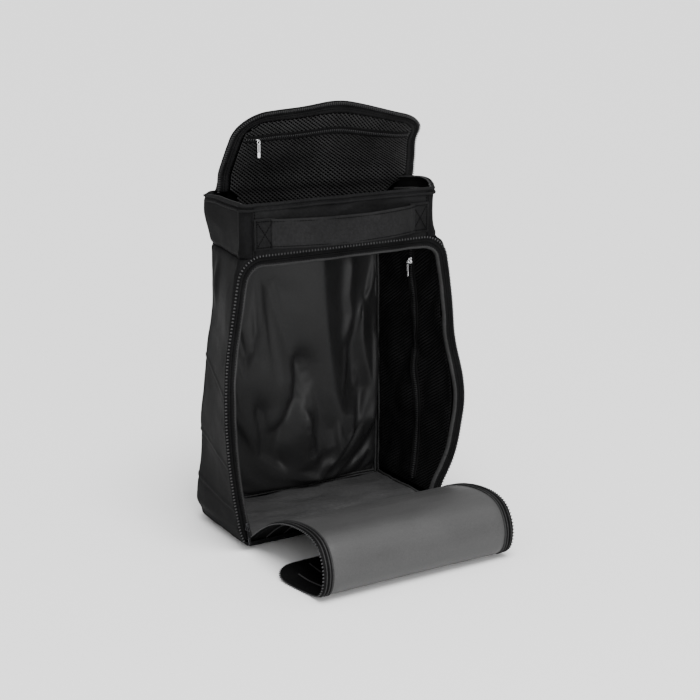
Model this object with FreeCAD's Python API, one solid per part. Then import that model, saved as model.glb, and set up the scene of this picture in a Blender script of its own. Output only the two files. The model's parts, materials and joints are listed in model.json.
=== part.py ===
import FreeCAD, Part
import math
import os

# Golf shoe bag: an upright zipped box bag of padded nylon.
# Frame: +X to the right, +Y to the back, +Z up, origin at the centre of the base.
# Millimetres. The lid stands open and the front door lies rolled up on the ground.

os.makedirs("parts", exist_ok=True)
V = FreeCAD.Vector

# ---- Driving dimensions -------------------------------------------------------------
BASE_HALF_WIDTH = 121.0
RIM_HALF_WIDTH = 114.0
BACK_Y = 59.0
FRONT_Y = -59.5
BASE_TOP = 10.0
RIM_Z = 371.0
OPENING_TOP = 318.8
SIDE_BOW = 25.0
WALL = 2.5
LINING = 0.8
HAIR = 0.02
GAP = 0.1
CLEAR = 0.2
EASE = 0.3

# Front opening and its zip
DOOR_HALF_WIDTH = 115.0
DOOR_THICKNESS = 2.3
DOOR_HINGE_Z = 13.5
OPENING_RADIUS = 30.0
CHAIN_WIDTH = 2.2
SIDE_FRONT_Y = FRONT_Y + WALL

# Rolled door, from the base hinge to the free end: length of each strip and its
# heading at rest, in degrees above the forward horizontal. Closed, all stand at 90.
STRIP_LENGTHS = [51.5, 49.0, 49.0, 32.0, 25.0, 20.0, 76.5]
STRIP_HEADINGS = [35.0, 19.0, 2.0, -45.0, -90.0, -149.0, -180.0]

# Lid
LID_HINGE_Y = 38.0
LID_HINGE_Z = 377.5
LID_OPEN_ANGLE = 60.0
LID_HALF_WIDTH = 113.7
RIM_RADIUS = 14.0

# Heights of the wall's cross-sections
WALL_STEPS = 16
KNOT_SPACE = 0.5
KNOTS = [BASE_TOP + (OPENING_TOP - BASE_TOP) * i / WALL_STEPS for i in range(WALL_STEPS + 1)]
KNOTS.append(RIM_Z)


# ---- Wall shape ---------------------------------------------------------------------
def half_back(z):
    """Half width of the bag along its back edge at height z."""
    share = (z - BASE_TOP) / (RIM_Z - BASE_TOP)
    return BASE_HALF_WIDTH + (RIM_HALF_WIDTH - BASE_HALF_WIDTH) * share


def bow(z):
    """How far the open front edge of a side wall bows outward at height z."""
    if z >= OPENING_TOP:
        return 0.0
    share = (z - BASE_TOP) / (OPENING_TOP - BASE_TOP)
    return SIDE_BOW * math.sin(math.pi * share)


def bow_between_knots(z):
    """The bow, straight from one cross-section to the next, so that layers nest."""
    for low, high in zip(KNOTS, KNOTS[1:]):
        if low <= z <= high:
            share = (z - low) / (high - low)
            return bow(low) + (bow(high) - bow(low)) * share
    return 0.0


def wall_x(y, z):
    """Outer face of the right side wall at depth y and height z."""
    share = min(1.0, (BACK_Y - y) / (BACK_Y - SIDE_FRONT_Y))
    return half_back(z) + bow_between_knots(z) * share


def heights(low, high):
    """Cross-section heights from low to high, with every knot well between them."""
    between = [z for z in KNOTS if low + KNOT_SPACE < z < high - KNOT_SPACE]
    return [low] + between + [high]


# ---- Solids -------------------------------------------------------------------------
def block(x0, x1, y0, y1, z0, z1):
    return Part.makeBox(x1 - x0, y1 - y0, z1 - z0, V(x0, y0, z0))


def ruled(sections):
    """Closed solid through a row of four-cornered sections, straight between them."""
    wires = [Part.makePolygon(corners + [corners[0]]) for corners in sections]
    return Part.makeLoft(wires, True, True)


def mirror_x(shape):
    return shape.mirror(V(0, 0, 0), V(1, 0, 0))


def side_layer(y0, y1, outer, inner, z0, z1):
    """A layer of the right side wall between two depths below its outer face."""
    sections = []
    for z in heights(z0, z1):
        sections.append([
            V(wall_x(y0, z) - outer, y0, z),
            V(wall_x(y1, z) - outer, y1, z),
            V(wall_x(y1, z) - inner, y1, z),
            V(wall_x(y0, z) - inner, y0, z),
        ])
    return ruled(sections)


def back_layer(y0, y1, margin, z0, z1):
    """A layer across the back, held in from the wall's outer face by the margin."""
    sections = []
    for z in (z0, z1):
        half = half_back(z) - margin
        sections.append([V(-half, y0, z), V(half, y0, z), V(half, y1, z), V(-half, y1, z)])
    return ruled(sections)


CORNER_STEPS = 6
FRAME_LOW_Z = 14.0


def frame_line(y, inset):
    """Points (x, z) up the right of the opening, round its corner and over to the left."""
    corner_z = OPENING_TOP - OPENING_RADIUS
    right = [(wall_x(y, z) - inset, z) for z in heights(FRAME_LOW_Z, corner_z)]
    radius = OPENING_RADIUS - inset
    for i in range(1, CORNER_STEPS + 1):
        turn = math.radians(90.0 * i / CORNER_STEPS)
        z = corner_z + radius * math.sin(turn)
        right.append((wall_x(y, z) - inset - radius * (1.0 - math.cos(turn)), z))
    return right + [(-x, z) for x, z in reversed(right)]


def frame_band(y0, y1, outer, inner):
    """A strip that follows the opening's edge, between two insets from it."""
    lines = [(y, frame_line(y, inset)) for y, inset in
             ((y0, outer), (y1, outer), (y1, inner), (y0, inner))]
    count = len(lines[0][1])
    return ruled([[V(line[i][0], y, line[i][1]) for y, line in lines] for i in range(count)])


def rim_line(half, front, back, radius, inset):
    """Points (x, y) from the right end of the hinge forward, round the front and back."""
    right = [(half - inset, back), (half - inset, front + radius)]
    for i in range(1, CORNER_STEPS + 1):
        turn = math.radians(90.0 * i / CORNER_STEPS)
        reach = radius - inset
        right.append((half - radius + reach * math.cos(turn),
                      front + radius - reach * math.sin(turn)))
    return right + [(-x, y) for x, y in reversed(right)]


def rim_band(half, front, back, radius, outer, inner, z0, z1):
    """A strip round the rim or the lid between two insets and two heights."""
    outside = rim_line(half, front, back, radius, outer)
    inside = rim_line(half, front, back, radius, inner)
    sections = []
    for (xo, yo), (xi, yi) in zip(outside, inside):
        sections.append([V(xo, yo, z0), V(xo, yo, z1), V(xi, yi, z1), V(xi, yi, z0)])
    return ruled(sections)


def plate(points, z0, z1):
    """A flat plate with the outline (x, y), between two heights."""
    corners = [V(x, y, z0) for x, y in points]
    face = Part.Face(Part.makePolygon(corners + [corners[0]]))
    return face.extrude(V(0, 0, z1 - z0))


def save(name, shape):
    shape.exportStep("parts/" + name + ".step")


# ---- Base ---------------------------------------------------------------------------
FOOT_INSET = 22.0
BOARD_TOP = 12.2
FLOOR_TOP = 13.0


def base_panel():
    """Padded base, wider at its top edge than where it meets the ground."""
    half_x = BASE_HALF_WIDTH
    low = half_x - FOOT_INSET
    sections = []
    for half, front, back, z in ((low, FRONT_Y + FOOT_INSET, BACK_Y - FOOT_INSET, 0.0),
                                 (half_x, FRONT_Y, BACK_Y, BASE_TOP)):
        sections.append([V(-half, front, z), V(half, front, z), V(half, back, z),
                         V(-half, back, z)])
    return ruled(sections)


save("base_panel", base_panel())
INNER_HALF = BASE_HALF_WIDTH - WALL - EASE
BOARD_BACK_Y = 56.0
save("base_board", block(-INNER_HALF, INNER_HALF, SIDE_FRONT_Y + CLEAR, BOARD_BACK_Y,
                         BASE_TOP, BOARD_TOP))
save("floor_lining", block(-INNER_HALF, INNER_HALF, SIDE_FRONT_Y + CLEAR, BOARD_BACK_Y,
                           BOARD_TOP, FLOOR_TOP))

# ---- Back ---------------------------------------------------------------------------
FOAM_FRONT = 53.4
BACK_LINING_FRONT = 52.4
CEILING_Z = 314.0
FOAM_TOP = 318.0
BACK_MARGIN = WALL + 0.05
FOAM_MARGIN = WALL + 0.5
FOAM_BACK = BACK_Y - WALL - GAP

save("back_panel", back_layer(BACK_Y - WALL, BACK_Y, BACK_MARGIN, BASE_TOP, RIM_Z))
save("back_foam", back_layer(FOAM_FRONT, FOAM_BACK, FOAM_MARGIN, FLOOR_TOP, FOAM_TOP))
save("back_lining", back_layer(BACK_LINING_FRONT, FOAM_FRONT - GAP, FOAM_MARGIN, FLOOR_TOP,
                               CEILING_Z))

# ---- Sides --------------------------------------------------------------------------
LAYER_GAP = 0.15
LINING_OUT = WALL + LAYER_GAP
LINING_IN = LINING_OUT + LINING
TAPE_BACK_Y = -47.0
BINDING_BACK_Y = -43.0
SIDE_LINING_FRONT = BINDING_BACK_Y + EASE
SIDE_LINING_BACK = 52.2

side = side_layer(SIDE_FRONT_Y, BACK_Y, 0.0, WALL, BASE_TOP, RIM_Z)
side_lining = side_layer(SIDE_LINING_FRONT, SIDE_LINING_BACK, LINING_OUT, LINING_IN,
                         FLOOR_TOP + CLEAR, CEILING_Z)
save("right_side_panel", side)
save("left_side_panel", mirror_x(side))
save("right_side_lining", side_lining)
save("left_side_lining", mirror_x(side_lining))

# Mesh pocket on the right wall, with an upright zip
MESH_OUT = LINING_IN + LAYER_GAP
MESH_IN = MESH_OUT + LINING
POCKET_ZIP_Y = -15.0
POCKET_ZIP_HALF = 4.0
POCKET_LOW = 26.0
POCKET_HIGH = 298.0
POCKET_ZIP_IN = MESH_IN + 1.3
POCKET_ZIP_MARGIN = 2.0
POCKET_FRONT_Y = -41.0
POCKET_BACK_Y = 47.0

save("side_pocket_mesh", side_layer(POCKET_FRONT_Y, POCKET_BACK_Y, MESH_OUT, MESH_IN,
                                    POCKET_LOW, POCKET_HIGH))
save("side_pocket_zip", side_layer(POCKET_ZIP_Y - POCKET_ZIP_HALF,
                                   POCKET_ZIP_Y + POCKET_ZIP_HALF,
                                   MESH_IN + GAP, POCKET_ZIP_IN,
                                   POCKET_LOW + POCKET_ZIP_MARGIN,
                                   POCKET_HIGH - POCKET_ZIP_MARGIN))

# ---- Front top and divider ----------------------------------------------------------
save("front_upper_panel", back_layer(FRONT_Y, SIDE_FRONT_Y - HAIR, 0.0, OPENING_TOP, RIM_Z))
save("divider_panel", back_layer(SIDE_FRONT_Y, FOAM_BACK, WALL + EASE, OPENING_TOP,
                                 OPENING_TOP + WALL))


def corner_gusset():
    """Right-hand piece between the rounded corner of the opening and the side wall."""
    corner_z = OPENING_TOP - OPENING_RADIUS
    outline = [(wall_x(SIDE_FRONT_Y, z), z) for z in reversed(heights(corner_z, OPENING_TOP))]
    for x, z in frame_line(SIDE_FRONT_Y, 0.0):
        if x > 0.0 and z > corner_z + GAP:
            outline.append((x, z))
    corners = [V(x, FRONT_Y, z) for x, z in outline]
    face = Part.Face(Part.makePolygon(corners + [corners[0]]))
    return face.extrude(V(0, WALL - HAIR, 0))


gusset = corner_gusset()
save("front_corner_gussets", Part.makeCompound([gusset, mirror_x(gusset)]))

# ---- Zip of the front opening: the half that stays on the bag -------------------------
TAPE_OUT = WALL + LAYER_GAP
TAPE_THICK = 0.6
BINDING_THICK = 3.0
CHAIN_BACK_Y = SIDE_FRONT_Y - 0.05
save("door_frame_chain", frame_band(FRONT_Y, CHAIN_BACK_Y, 0.0, CHAIN_WIDTH))
save("door_frame_tape", frame_band(SIDE_FRONT_Y, TAPE_BACK_Y, TAPE_OUT, TAPE_OUT + TAPE_THICK))
save("door_frame_binding", frame_band(TAPE_BACK_Y + GAP, BINDING_BACK_Y, TAPE_OUT,
                                      TAPE_OUT + BINDING_THICK))

# ---- Bound seams inside the shoe compartment ------------------------------------------
SEAM = 2.4
SEAM_OUT = LINING_IN + GAP
SEAM_BACK = BACK_LINING_FRONT - EASE
SEAM_TOP = CEILING_Z - 2.0
SEAM_HALF = 112.0
upright = side_layer(SEAM_BACK - SEAM, SEAM_BACK, SEAM_OUT, SEAM_OUT + SEAM, FLOOR_TOP + SEAM,
                     SEAM_TOP)
along_floor = block(-SEAM_HALF, SEAM_HALF, SEAM_BACK + GAP - SEAM, SEAM_BACK + GAP, FLOOR_TOP,
                    FLOOR_TOP + SEAM - CLEAR)
save("seam_bindings", Part.makeCompound([upright, mirror_x(upright), along_floor]))

# ---- Carry handle on the front --------------------------------------------------------
HANDLE_LOW = 326.0
HANDLE_HIGH = 357.0
PATCH_IN = 84.0
PATCH_OUT = 112.0
PATCH_THICK = 1.0
STRAP_THICK = 2.6
STRAP_ARCH = 14.0
STRAP_STEPS = 16
STRAP_CURVE = 0.7
STRAP_MARGIN = 1.0
PATCH_MARGIN = 2.0
PATCH_FRONT = FRONT_Y - PATCH_THICK


def handle_strap():
    """Wide padded strap, flat on its two patches and arched forward between them."""
    xs = [-PATCH_OUT + STRAP_MARGIN]
    xs += [-PATCH_IN + 2.0 * PATCH_IN * i / STRAP_STEPS for i in range(STRAP_STEPS + 1)]
    xs += [PATCH_OUT - STRAP_MARGIN]
    sections = []
    for x in xs:
        rise = 0.0
        if abs(x) < PATCH_IN:
            rise = STRAP_ARCH * math.cos(math.pi * x / (2.0 * PATCH_IN)) ** STRAP_CURVE
        back = PATCH_FRONT - HAIR - rise
        front = back - STRAP_THICK
        sections.append([V(x, back, HANDLE_LOW), V(x, front, HANDLE_LOW),
                         V(x, front, HANDLE_HIGH), V(x, back, HANDLE_HIGH)])
    return ruled(sections)


patch = block(PATCH_IN, PATCH_OUT, PATCH_FRONT, FRONT_Y - HAIR, HANDLE_LOW - PATCH_MARGIN,
              HANDLE_HIGH + PATCH_MARGIN)
save("handle_patches", Part.makeCompound([patch, mirror_x(patch)]))
save("handle_strap", handle_strap())

# ---- Rim of the top compartment -------------------------------------------------------
RIM_CHAIN_TOP = RIM_Z + 2.0
RIM = (RIM_HALF_WIDTH, FRONT_Y, LID_HINGE_Y - EASE, RIM_RADIUS)
RIM_TAPE_OUT = 2.9
RIM_TAPE_LOW = RIM_Z - 10.0
RIM_BINDING_LOW = RIM_Z - 14.0
REAR_FRONT_Y = LID_HINGE_Y + 0.4

save("top_rear_panel", block(-RIM_HALF_WIDTH, RIM_HALF_WIDTH, REAR_FRONT_Y, BACK_Y, RIM_Z,
                             LID_HINGE_Z))
save("rim_zip_chain", rim_band(*RIM, CLEAR, CLEAR + CHAIN_WIDTH, RIM_Z, RIM_CHAIN_TOP))
save("rim_zip_tape", rim_band(*RIM, RIM_TAPE_OUT, RIM_TAPE_OUT + TAPE_THICK, RIM_TAPE_LOW,
                              RIM_Z - CLEAR))
save("rim_binding", rim_band(*RIM, RIM_TAPE_OUT, RIM_TAPE_OUT + BINDING_THICK,
                             RIM_BINDING_LOW, RIM_TAPE_LOW - CLEAR))

# ---- Lid, modelled closed and then swung open -----------------------------------------
LID = (LID_HALF_WIDTH, FRONT_Y + CLEAR, LID_HINGE_Y - CLEAR, RIM_RADIUS)
LID_FACE = LID_HINGE_Z - WALL + CLEAR
LID_POCKET_RISE = 64.0
LID_TAPE_IN = 10.0
LID_BINDING_IN = 12.6
LID_POCKET_Y = LID_HINGE_Y - LID_POCKET_RISE
LID_POCKET_HALF = 3.5
POCKET_ZIP_THICK = 1.0
LID_BINDING_THICK = 1.3
LID_POCKET_ENDS = 95.0
HINGE_POINT = V(0, LID_HINGE_Y, LID_HINGE_Z)


def swung_open(shape):
    """Turn a piece of the closed lid about the hinge line into its open place."""
    turned = shape.copy()
    turned.rotate(HINGE_POINT, V(1, 0, 0), -LID_OPEN_ANGLE)
    return turned


def open_point(x, y, z):
    """Where a point of the closed lid is when the lid stands open."""
    turn = math.radians(-LID_OPEN_ANGLE)
    dy = y - LID_HINGE_Y
    dz = z - LID_HINGE_Z
    return V(x, LID_HINGE_Y + dy * math.cos(turn) - dz * math.sin(turn),
             LID_HINGE_Z + dy * math.sin(turn) + dz * math.cos(turn))


LID_BACK = LID_FACE - GAP
mesh_half = LID_HALF_WIDTH - LID_BINDING_IN - 0.8
mesh_front = FRONT_Y + LID_BINDING_IN + 0.9
mesh_rear = LID_HINGE_Y - 6.0
mesh_face = LID_BACK - LINING
lid_pieces = {
    "lid_panel": plate(rim_line(*LID, 0.0), LID_FACE, LID_HINGE_Z),
    "lid_zip_chain": rim_band(*LID, CLEAR, CLEAR + CHAIN_WIDTH, RIM_CHAIN_TOP + EASE,
                              LID_BACK),
    "lid_zip_tape": rim_band(*LID, CHAIN_WIDTH + 2.0 * CLEAR, LID_TAPE_IN,
                             LID_BACK - TAPE_THICK, LID_BACK),
    "lid_binding": rim_band(*LID, LID_TAPE_IN + CLEAR, LID_BINDING_IN,
                            LID_BACK - LID_BINDING_THICK, LID_BACK),
    "lid_mesh": block(-mesh_half, mesh_half, mesh_front, mesh_rear, mesh_face, LID_BACK),
    "lid_pocket_zip": block(-LID_POCKET_ENDS, LID_POCKET_ENDS, LID_POCKET_Y - LID_POCKET_HALF,
                            LID_POCKET_Y + LID_POCKET_HALF,
                            mesh_face - GAP - POCKET_ZIP_THICK, mesh_face - GAP),
}
for name, shape in lid_pieces.items():
    save(name, swung_open(shape))

# ---- Zip sliders and pulls ------------------------------------------------------------
SLIDER_LENGTH = 8.0
SLIDER_WIDTH = 5.0
SLIDER_THICK = 2.8
PULL_LENGTH = 19.0
PULL_WIDTH = 3.6
PULL_THICK = 1.2
PULL_ABOVE_PIN = 1.0
PIN_OFFSET = 1.4


def hanging_pull(x, y, z, across_x):
    """A flat pull that hangs from its pin at (x, y, z), its face across X or across Y."""
    half = PULL_WIDTH / 2.0
    thin = PULL_THICK / 2.0
    half_x, half_y = (half, thin) if across_x else (thin, half)
    return block(x - half_x, x + half_x, y - half_y, y + half_y, z - PULL_LENGTH,
                 z + PULL_ABOVE_PIN)


# Lid pocket slider, at the left end of its zip
LID_SLIDER_X = -68.0
slider_face = mesh_face - GAP - POCKET_ZIP_THICK - CLEAR
save("lid_pocket_slider", swung_open(block(
    LID_SLIDER_X - SLIDER_LENGTH / 2.0, LID_SLIDER_X + SLIDER_LENGTH / 2.0,
    LID_POCKET_Y - SLIDER_WIDTH / 2.0, LID_POCKET_Y + SLIDER_WIDTH / 2.0,
    slider_face - SLIDER_THICK, slider_face)))
lid_pull_pin = open_point(LID_SLIDER_X, LID_POCKET_Y, slider_face - SLIDER_THICK - PIN_OFFSET)
save("lid_pocket_pull", hanging_pull(lid_pull_pin.x, lid_pull_pin.y, lid_pull_pin.z, True))

# Side pocket slider, at the top of its zip
SIDE_SLIDER_Z = 284.0
side_slider_x = wall_x(POCKET_ZIP_Y, SIDE_SLIDER_Z + SLIDER_LENGTH / 2.0) - POCKET_ZIP_IN - CLEAR
save("side_pocket_slider", block(
    side_slider_x - SLIDER_THICK, side_slider_x,
    POCKET_ZIP_Y - SLIDER_WIDTH / 2.0, POCKET_ZIP_Y + SLIDER_WIDTH / 2.0,
    SIDE_SLIDER_Z - SLIDER_LENGTH / 2.0, SIDE_SLIDER_Z + SLIDER_LENGTH / 2.0))
SIDE_PULL_X = side_slider_x - SLIDER_THICK - PIN_OFFSET
save("side_pocket_pull", hanging_pull(SIDE_PULL_X, POCKET_ZIP_Y, SIDE_SLIDER_Z, False))

# Rim slider, at the right rear end of the rim
RIM_SLIDER_Y = 18.0
RIM_SLIDER_Z = 373.5
rim_slider_x = RIM_HALF_WIDTH + EASE
save("rim_zip_slider", block(
    rim_slider_x, rim_slider_x + SLIDER_THICK,
    RIM_SLIDER_Y - SLIDER_LENGTH / 2.0, RIM_SLIDER_Y + SLIDER_LENGTH / 2.0,
    RIM_SLIDER_Z - SLIDER_WIDTH / 2.0, RIM_SLIDER_Z + SLIDER_WIDTH / 2.0))
RIM_PULL_X = rim_slider_x + SLIDER_THICK + PIN_OFFSET
save("rim_zip_pull", hanging_pull(RIM_PULL_X, RIM_SLIDER_Y, RIM_SLIDER_Z, False))

# Door slider, at the bottom left corner of the opening
DOOR_SLIDER_X = -119.5
DOOR_SLIDER_Z = 28.0
DOOR_SLIDER_BACK = FRONT_Y - CLEAR
save("door_zip_slider", block(
    DOOR_SLIDER_X - SLIDER_WIDTH / 2.0, DOOR_SLIDER_X + SLIDER_WIDTH / 2.0,
    DOOR_SLIDER_BACK - SLIDER_THICK, DOOR_SLIDER_BACK,
    DOOR_SLIDER_Z - SLIDER_LENGTH / 2.0, DOOR_SLIDER_Z + SLIDER_LENGTH / 2.0))
DOOR_PULL_Y = DOOR_SLIDER_BACK - SLIDER_THICK - PIN_OFFSET
save("door_zip_pull", hanging_pull(DOOR_SLIDER_X, DOOR_PULL_Y, DOOR_SLIDER_Z, True))

# ---- Rolled front door ----------------------------------------------------------------
# Each strip is modelled standing closed, with its hinge line on the outer face, and then
# swung down to its heading. The wedge gaps between strips open on the lining side.
STRIP_GAP = 0.15
PANEL_THICK = 1.5
END_RADIUS = 34.0


def strip_layer(length, half, y0, y1, rounded, inset=0.0):
    """A flat layer of a strip, from its hinge at the origin up, with a rounded free end."""
    top = length - STRIP_GAP - inset
    right = [(half, STRIP_GAP), (half, top)]
    if rounded:
        radius = END_RADIUS - inset
        right = [(half, STRIP_GAP)]
        for i in range(CORNER_STEPS + 1):
            turn = math.radians(90.0 * i / CORNER_STEPS)
            right.append((half - radius + radius * math.cos(turn),
                          top - radius + radius * math.sin(turn)))
    outline = right + [(-x, z) for x, z in reversed(right)]
    corners = [V(x, y0, z) for x, z in outline]
    face = Part.Face(Part.makePolygon(corners + [corners[0]]))
    return face.extrude(V(0, y1 - y0, 0))


def strip_zip(length, rounded):
    """The chain along a strip's side edges, and round the free end of the last strip."""
    outer = strip_layer(length, DOOR_HALF_WIDTH, 0.0, DOOR_THICKNESS, rounded)
    margin = CHAIN_WIDTH + 0.05
    half = DOOR_HALF_WIDTH - margin
    if rounded:
        return outer.cut(strip_layer(length, half, -WALL, DOOR_THICKNESS + WALL, True, margin))
    return outer.cut(block(-half, half, -WALL, DOOR_THICKNESS + WALL, 0.0, length))


def placed(shape, hinge_y, hinge_z, heading):
    """Put a strip's hinge line in place and swing it from upright to its heading."""
    moved = shape.copy()
    moved.rotate(V(0, 0, 0), V(1, 0, 0), 90.0 - heading)
    moved.translate(V(0, hinge_y, hinge_z))
    return moved


hinge_y = FRONT_Y
hinge_z = DOOR_HINGE_Z
INNER = DOOR_HALF_WIDTH - CHAIN_WIDTH - GAP
for number, (length, heading) in enumerate(zip(STRIP_LENGTHS, STRIP_HEADINGS), start=1):
    last = number == len(STRIP_LENGTHS)
    shrink = CHAIN_WIDTH + GAP if last else 0.0
    layers = {
        "door_panel_": strip_layer(length, INNER, 0.0, PANEL_THICK, last, shrink),
        "door_lining_": strip_layer(length, INNER, PANEL_THICK + HAIR, DOOR_THICKNESS, last,
                                    shrink),
        "door_zip_": strip_zip(length, last),
    }
    for prefix, layer in layers.items():
        save(prefix + str(number), placed(layer, hinge_y, hinge_z, heading))
    hinge_y -= length * math.cos(math.radians(heading))
    hinge_z += length * math.sin(math.radians(heading))
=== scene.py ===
import json
import math

import bmesh
import bpy
import numpy as np
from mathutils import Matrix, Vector, noise


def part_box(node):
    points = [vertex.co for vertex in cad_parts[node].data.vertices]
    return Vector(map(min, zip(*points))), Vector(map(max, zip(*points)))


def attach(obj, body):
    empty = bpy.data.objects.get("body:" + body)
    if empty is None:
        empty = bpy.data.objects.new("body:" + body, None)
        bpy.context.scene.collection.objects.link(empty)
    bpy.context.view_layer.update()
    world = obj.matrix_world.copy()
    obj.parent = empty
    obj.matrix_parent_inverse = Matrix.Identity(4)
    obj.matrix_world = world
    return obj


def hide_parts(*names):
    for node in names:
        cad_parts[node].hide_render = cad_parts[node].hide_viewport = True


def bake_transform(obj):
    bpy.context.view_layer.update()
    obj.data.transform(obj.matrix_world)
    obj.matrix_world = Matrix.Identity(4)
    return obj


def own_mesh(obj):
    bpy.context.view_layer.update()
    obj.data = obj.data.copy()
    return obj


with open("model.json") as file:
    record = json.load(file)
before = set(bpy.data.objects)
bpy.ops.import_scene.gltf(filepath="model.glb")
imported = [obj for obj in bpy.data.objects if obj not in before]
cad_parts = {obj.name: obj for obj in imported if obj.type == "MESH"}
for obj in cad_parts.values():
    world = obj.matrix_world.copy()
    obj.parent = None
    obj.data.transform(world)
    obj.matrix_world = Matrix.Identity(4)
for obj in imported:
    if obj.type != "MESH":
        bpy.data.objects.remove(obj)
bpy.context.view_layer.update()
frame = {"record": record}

# Looks for the golf shoe bag. Shapes are worked out in millimetres in the CAD frame
# (+X right, +Y back, +Z up) and turned into metres as each mesh is made.
MM = 0.001


def cad(node):
    """Lowest and highest corner of a CAD node, in millimetres."""
    low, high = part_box(node)
    return np.array(low) / MM, np.array(high) / MM


def joint(name):
    """A joint's place in millimetres."""
    found = next(j for j in frame["record"]["behaviour"]["joints"] if j["name"] == name)
    return np.array(found["pos_m"]) / MM


# ---- Sizes read from the frame --------------------------------------------------------
BASE_HALF = cad("base_panel")[1][0]
BACK_Y = cad("base_panel")[1][1]
FRONT_Y = cad("front_upper_panel")[0][1]
BASE_TOP = cad("base_panel")[1][2]
FLOOR_Z = cad("floor_lining")[1][2]
RIM_Z = cad("front_upper_panel")[1][2]
RIM_HALF = cad("top_rear_panel")[1][0]
OPENING_TOP = cad("door_frame_chain")[1][2]
DEPTH = BACK_Y - FRONT_Y
HEIGHT = RIM_Z - BASE_TOP
HANDLE_LOW, HANDLE_HIGH = cad("handle_strap")[0][2], cad("handle_strap")[1][2]
PATCH_IN = 84.0
DOOR_HALF = cad("door_zip_1")[1][0]
LID_HINGE = joint("lid_hinge")

# ---- Sizes of the sewn shape ------------------------------------------------------------
CORNER_RADIUS = 23.0
BACK_ROUND = 14.0
FRONT_ROUND = 15.0
FRONT_SEAM_X = 106.8
DIVIDER_Z = OPENING_TOP - 1.5
TAPE_WIDTH = 10.0
LEFT, RIGHT = -1, 1


# ======================================================================================
# Small mathematics
# ======================================================================================
def unit(v):
    return v / np.maximum(np.linalg.norm(v, axis=-1, keepdims=True), 1e-9)


def smooth(x):
    """Smooth step from 0 to 1."""
    x = np.clip(x, 0.0, 1.0)
    return x * x * (3.0 - 2.0 * x)


def ease(x, knots, values):
    """Values at knots, joined by smooth steps."""
    x = np.asarray(x, float)
    out = np.full(x.shape, float(values[0]))
    for k0, k1, v0, v1 in zip(knots, knots[1:], values, values[1:]):
        out = out + (v1 - v0) * smooth((x - k0) / (k1 - k0))
    return out


def cloud(points, size, seed, ridged=False):
    """Smooth noise at points (mm) with features of the given size, one per axis."""
    flat = np.asarray(points, float).reshape(-1, 3) / np.asarray(size, float)
    shift = Vector((seed * 7.31, seed * 3.17, seed * 5.73))
    values = np.array([noise.noise(Vector(p) + shift) for p in flat])
    if ridged:
        values = 1.0 - 2.6 * np.abs(values)
    return values.reshape(np.asarray(points).shape[:-1])


def resample(path, step=None, count=None):
    """Points evenly spaced along a path of any dimension."""
    path = np.asarray(path, float)
    gaps = np.linalg.norm(np.diff(path, axis=0), axis=1)
    along = np.concatenate([[0.0], np.cumsum(gaps)])
    keep = np.concatenate([[True], gaps > 1e-7])
    if count is None:
        count = max(2, int(round(along[-1] / step)) + 1)
    wanted = np.linspace(0.0, along[-1], count)
    return np.stack([np.interp(wanted, along[keep], path[keep, i])
                     for i in range(path.shape[1])], -1)


def tangents(path):
    return unit(np.gradient(path, axis=0))


def every(vector, path):
    """The same direction at every point of a path."""
    return np.tile(vector, (len(path), 1))


# ======================================================================================
# Meshes
# ======================================================================================
def make_mesh(name, points, faces, material, uv=None):
    """A mesh object from points in millimetres."""
    mesh = bpy.data.meshes.new(name)
    mesh.from_pydata((np.asarray(points).reshape(-1, 3) * MM).tolist(), [], faces)
    if uv is not None:
        corners = np.zeros(len(mesh.loops), int)
        mesh.loops.foreach_get("vertex_index", corners)
        layer = mesh.uv_layers.new(name="Cloth")
        layer.data.foreach_set("uv", (np.asarray(uv).reshape(-1, 2) * MM)[corners].ravel())
    mesh.polygons.foreach_set("use_smooth", [True] * len(mesh.polygons))
    mesh.materials.append(material)
    mesh.update()
    piece = bpy.data.objects.new(name, mesh)
    bpy.context.scene.collection.objects.link(piece)
    return piece


def quads(rows, cols, close=False, start=0, flip=False):
    faces = []
    for i in range(rows - 1):
        for j in range(cols if close else cols - 1):
            k = (j + 1) % cols
            face = (start + i * cols + j, start + i * cols + k,
                    start + (i + 1) * cols + k, start + (i + 1) * cols + j)
            faces.append(face[::-1] if flip else face)
    return faces


def lengths_uv(grid):
    """Texture coordinates of a grid from its own lengths, so a weave keeps its size."""
    down = np.linalg.norm(np.diff(grid, axis=0), axis=-1).mean(axis=1)
    across = np.linalg.norm(np.diff(grid, axis=1), axis=-1).mean(axis=0)
    v = np.concatenate([[0.0], np.cumsum(down)])
    u = np.concatenate([[0.0], np.cumsum(across)])
    return np.stack(np.meshgrid(u, v), -1)


def thicken(piece, thickness, offset=-1.0):
    """Give a sheet its thickness, inward from its front face."""
    solid = piece.modifiers.new("Thickness", "SOLIDIFY")
    solid.thickness = thickness * MM
    solid.offset = offset
    solid.use_rim = True
    return piece


def sheet(name, grid, material, thickness=0.0, flip=False, close=False, offset=-1.0):
    """A sheet of cloth from a grid of points."""
    rows, cols = grid.shape[:2]
    uv = lengths_uv(grid)
    piece = make_mesh(name, grid, quads(rows, cols, close, flip=flip), material, uv)
    if thickness:
        thicken(piece, thickness, offset)
    return piece


def tube_faces(rows, cols, start=0, flip=False):
    """Faces of a closed tube with both ends capped."""
    faces = quads(rows, cols, True, start, flip)
    first = list(range(start, start + cols))
    last = list(range(start + (rows - 1) * cols, start + rows * cols))
    faces.append(first if flip else first[::-1])
    faces.append(last[::-1] if flip else last)
    return faces


def tubes(name, grids, material, flip=False):
    """Closed tubes joined in one piece. Each grid is rows along it by points round it."""
    points, faces, uvs, start = [], [], [], 0
    for grid in grids:
        rows, cols = grid.shape[:2]
        points.append(grid.reshape(-1, 3))
        faces += tube_faces(rows, cols, start, flip)
        uvs.append(lengths_uv(grid).reshape(-1, 2))
        start += rows * cols
    return make_mesh(name, np.concatenate(points), faces, material, np.concatenate(uvs))


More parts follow.
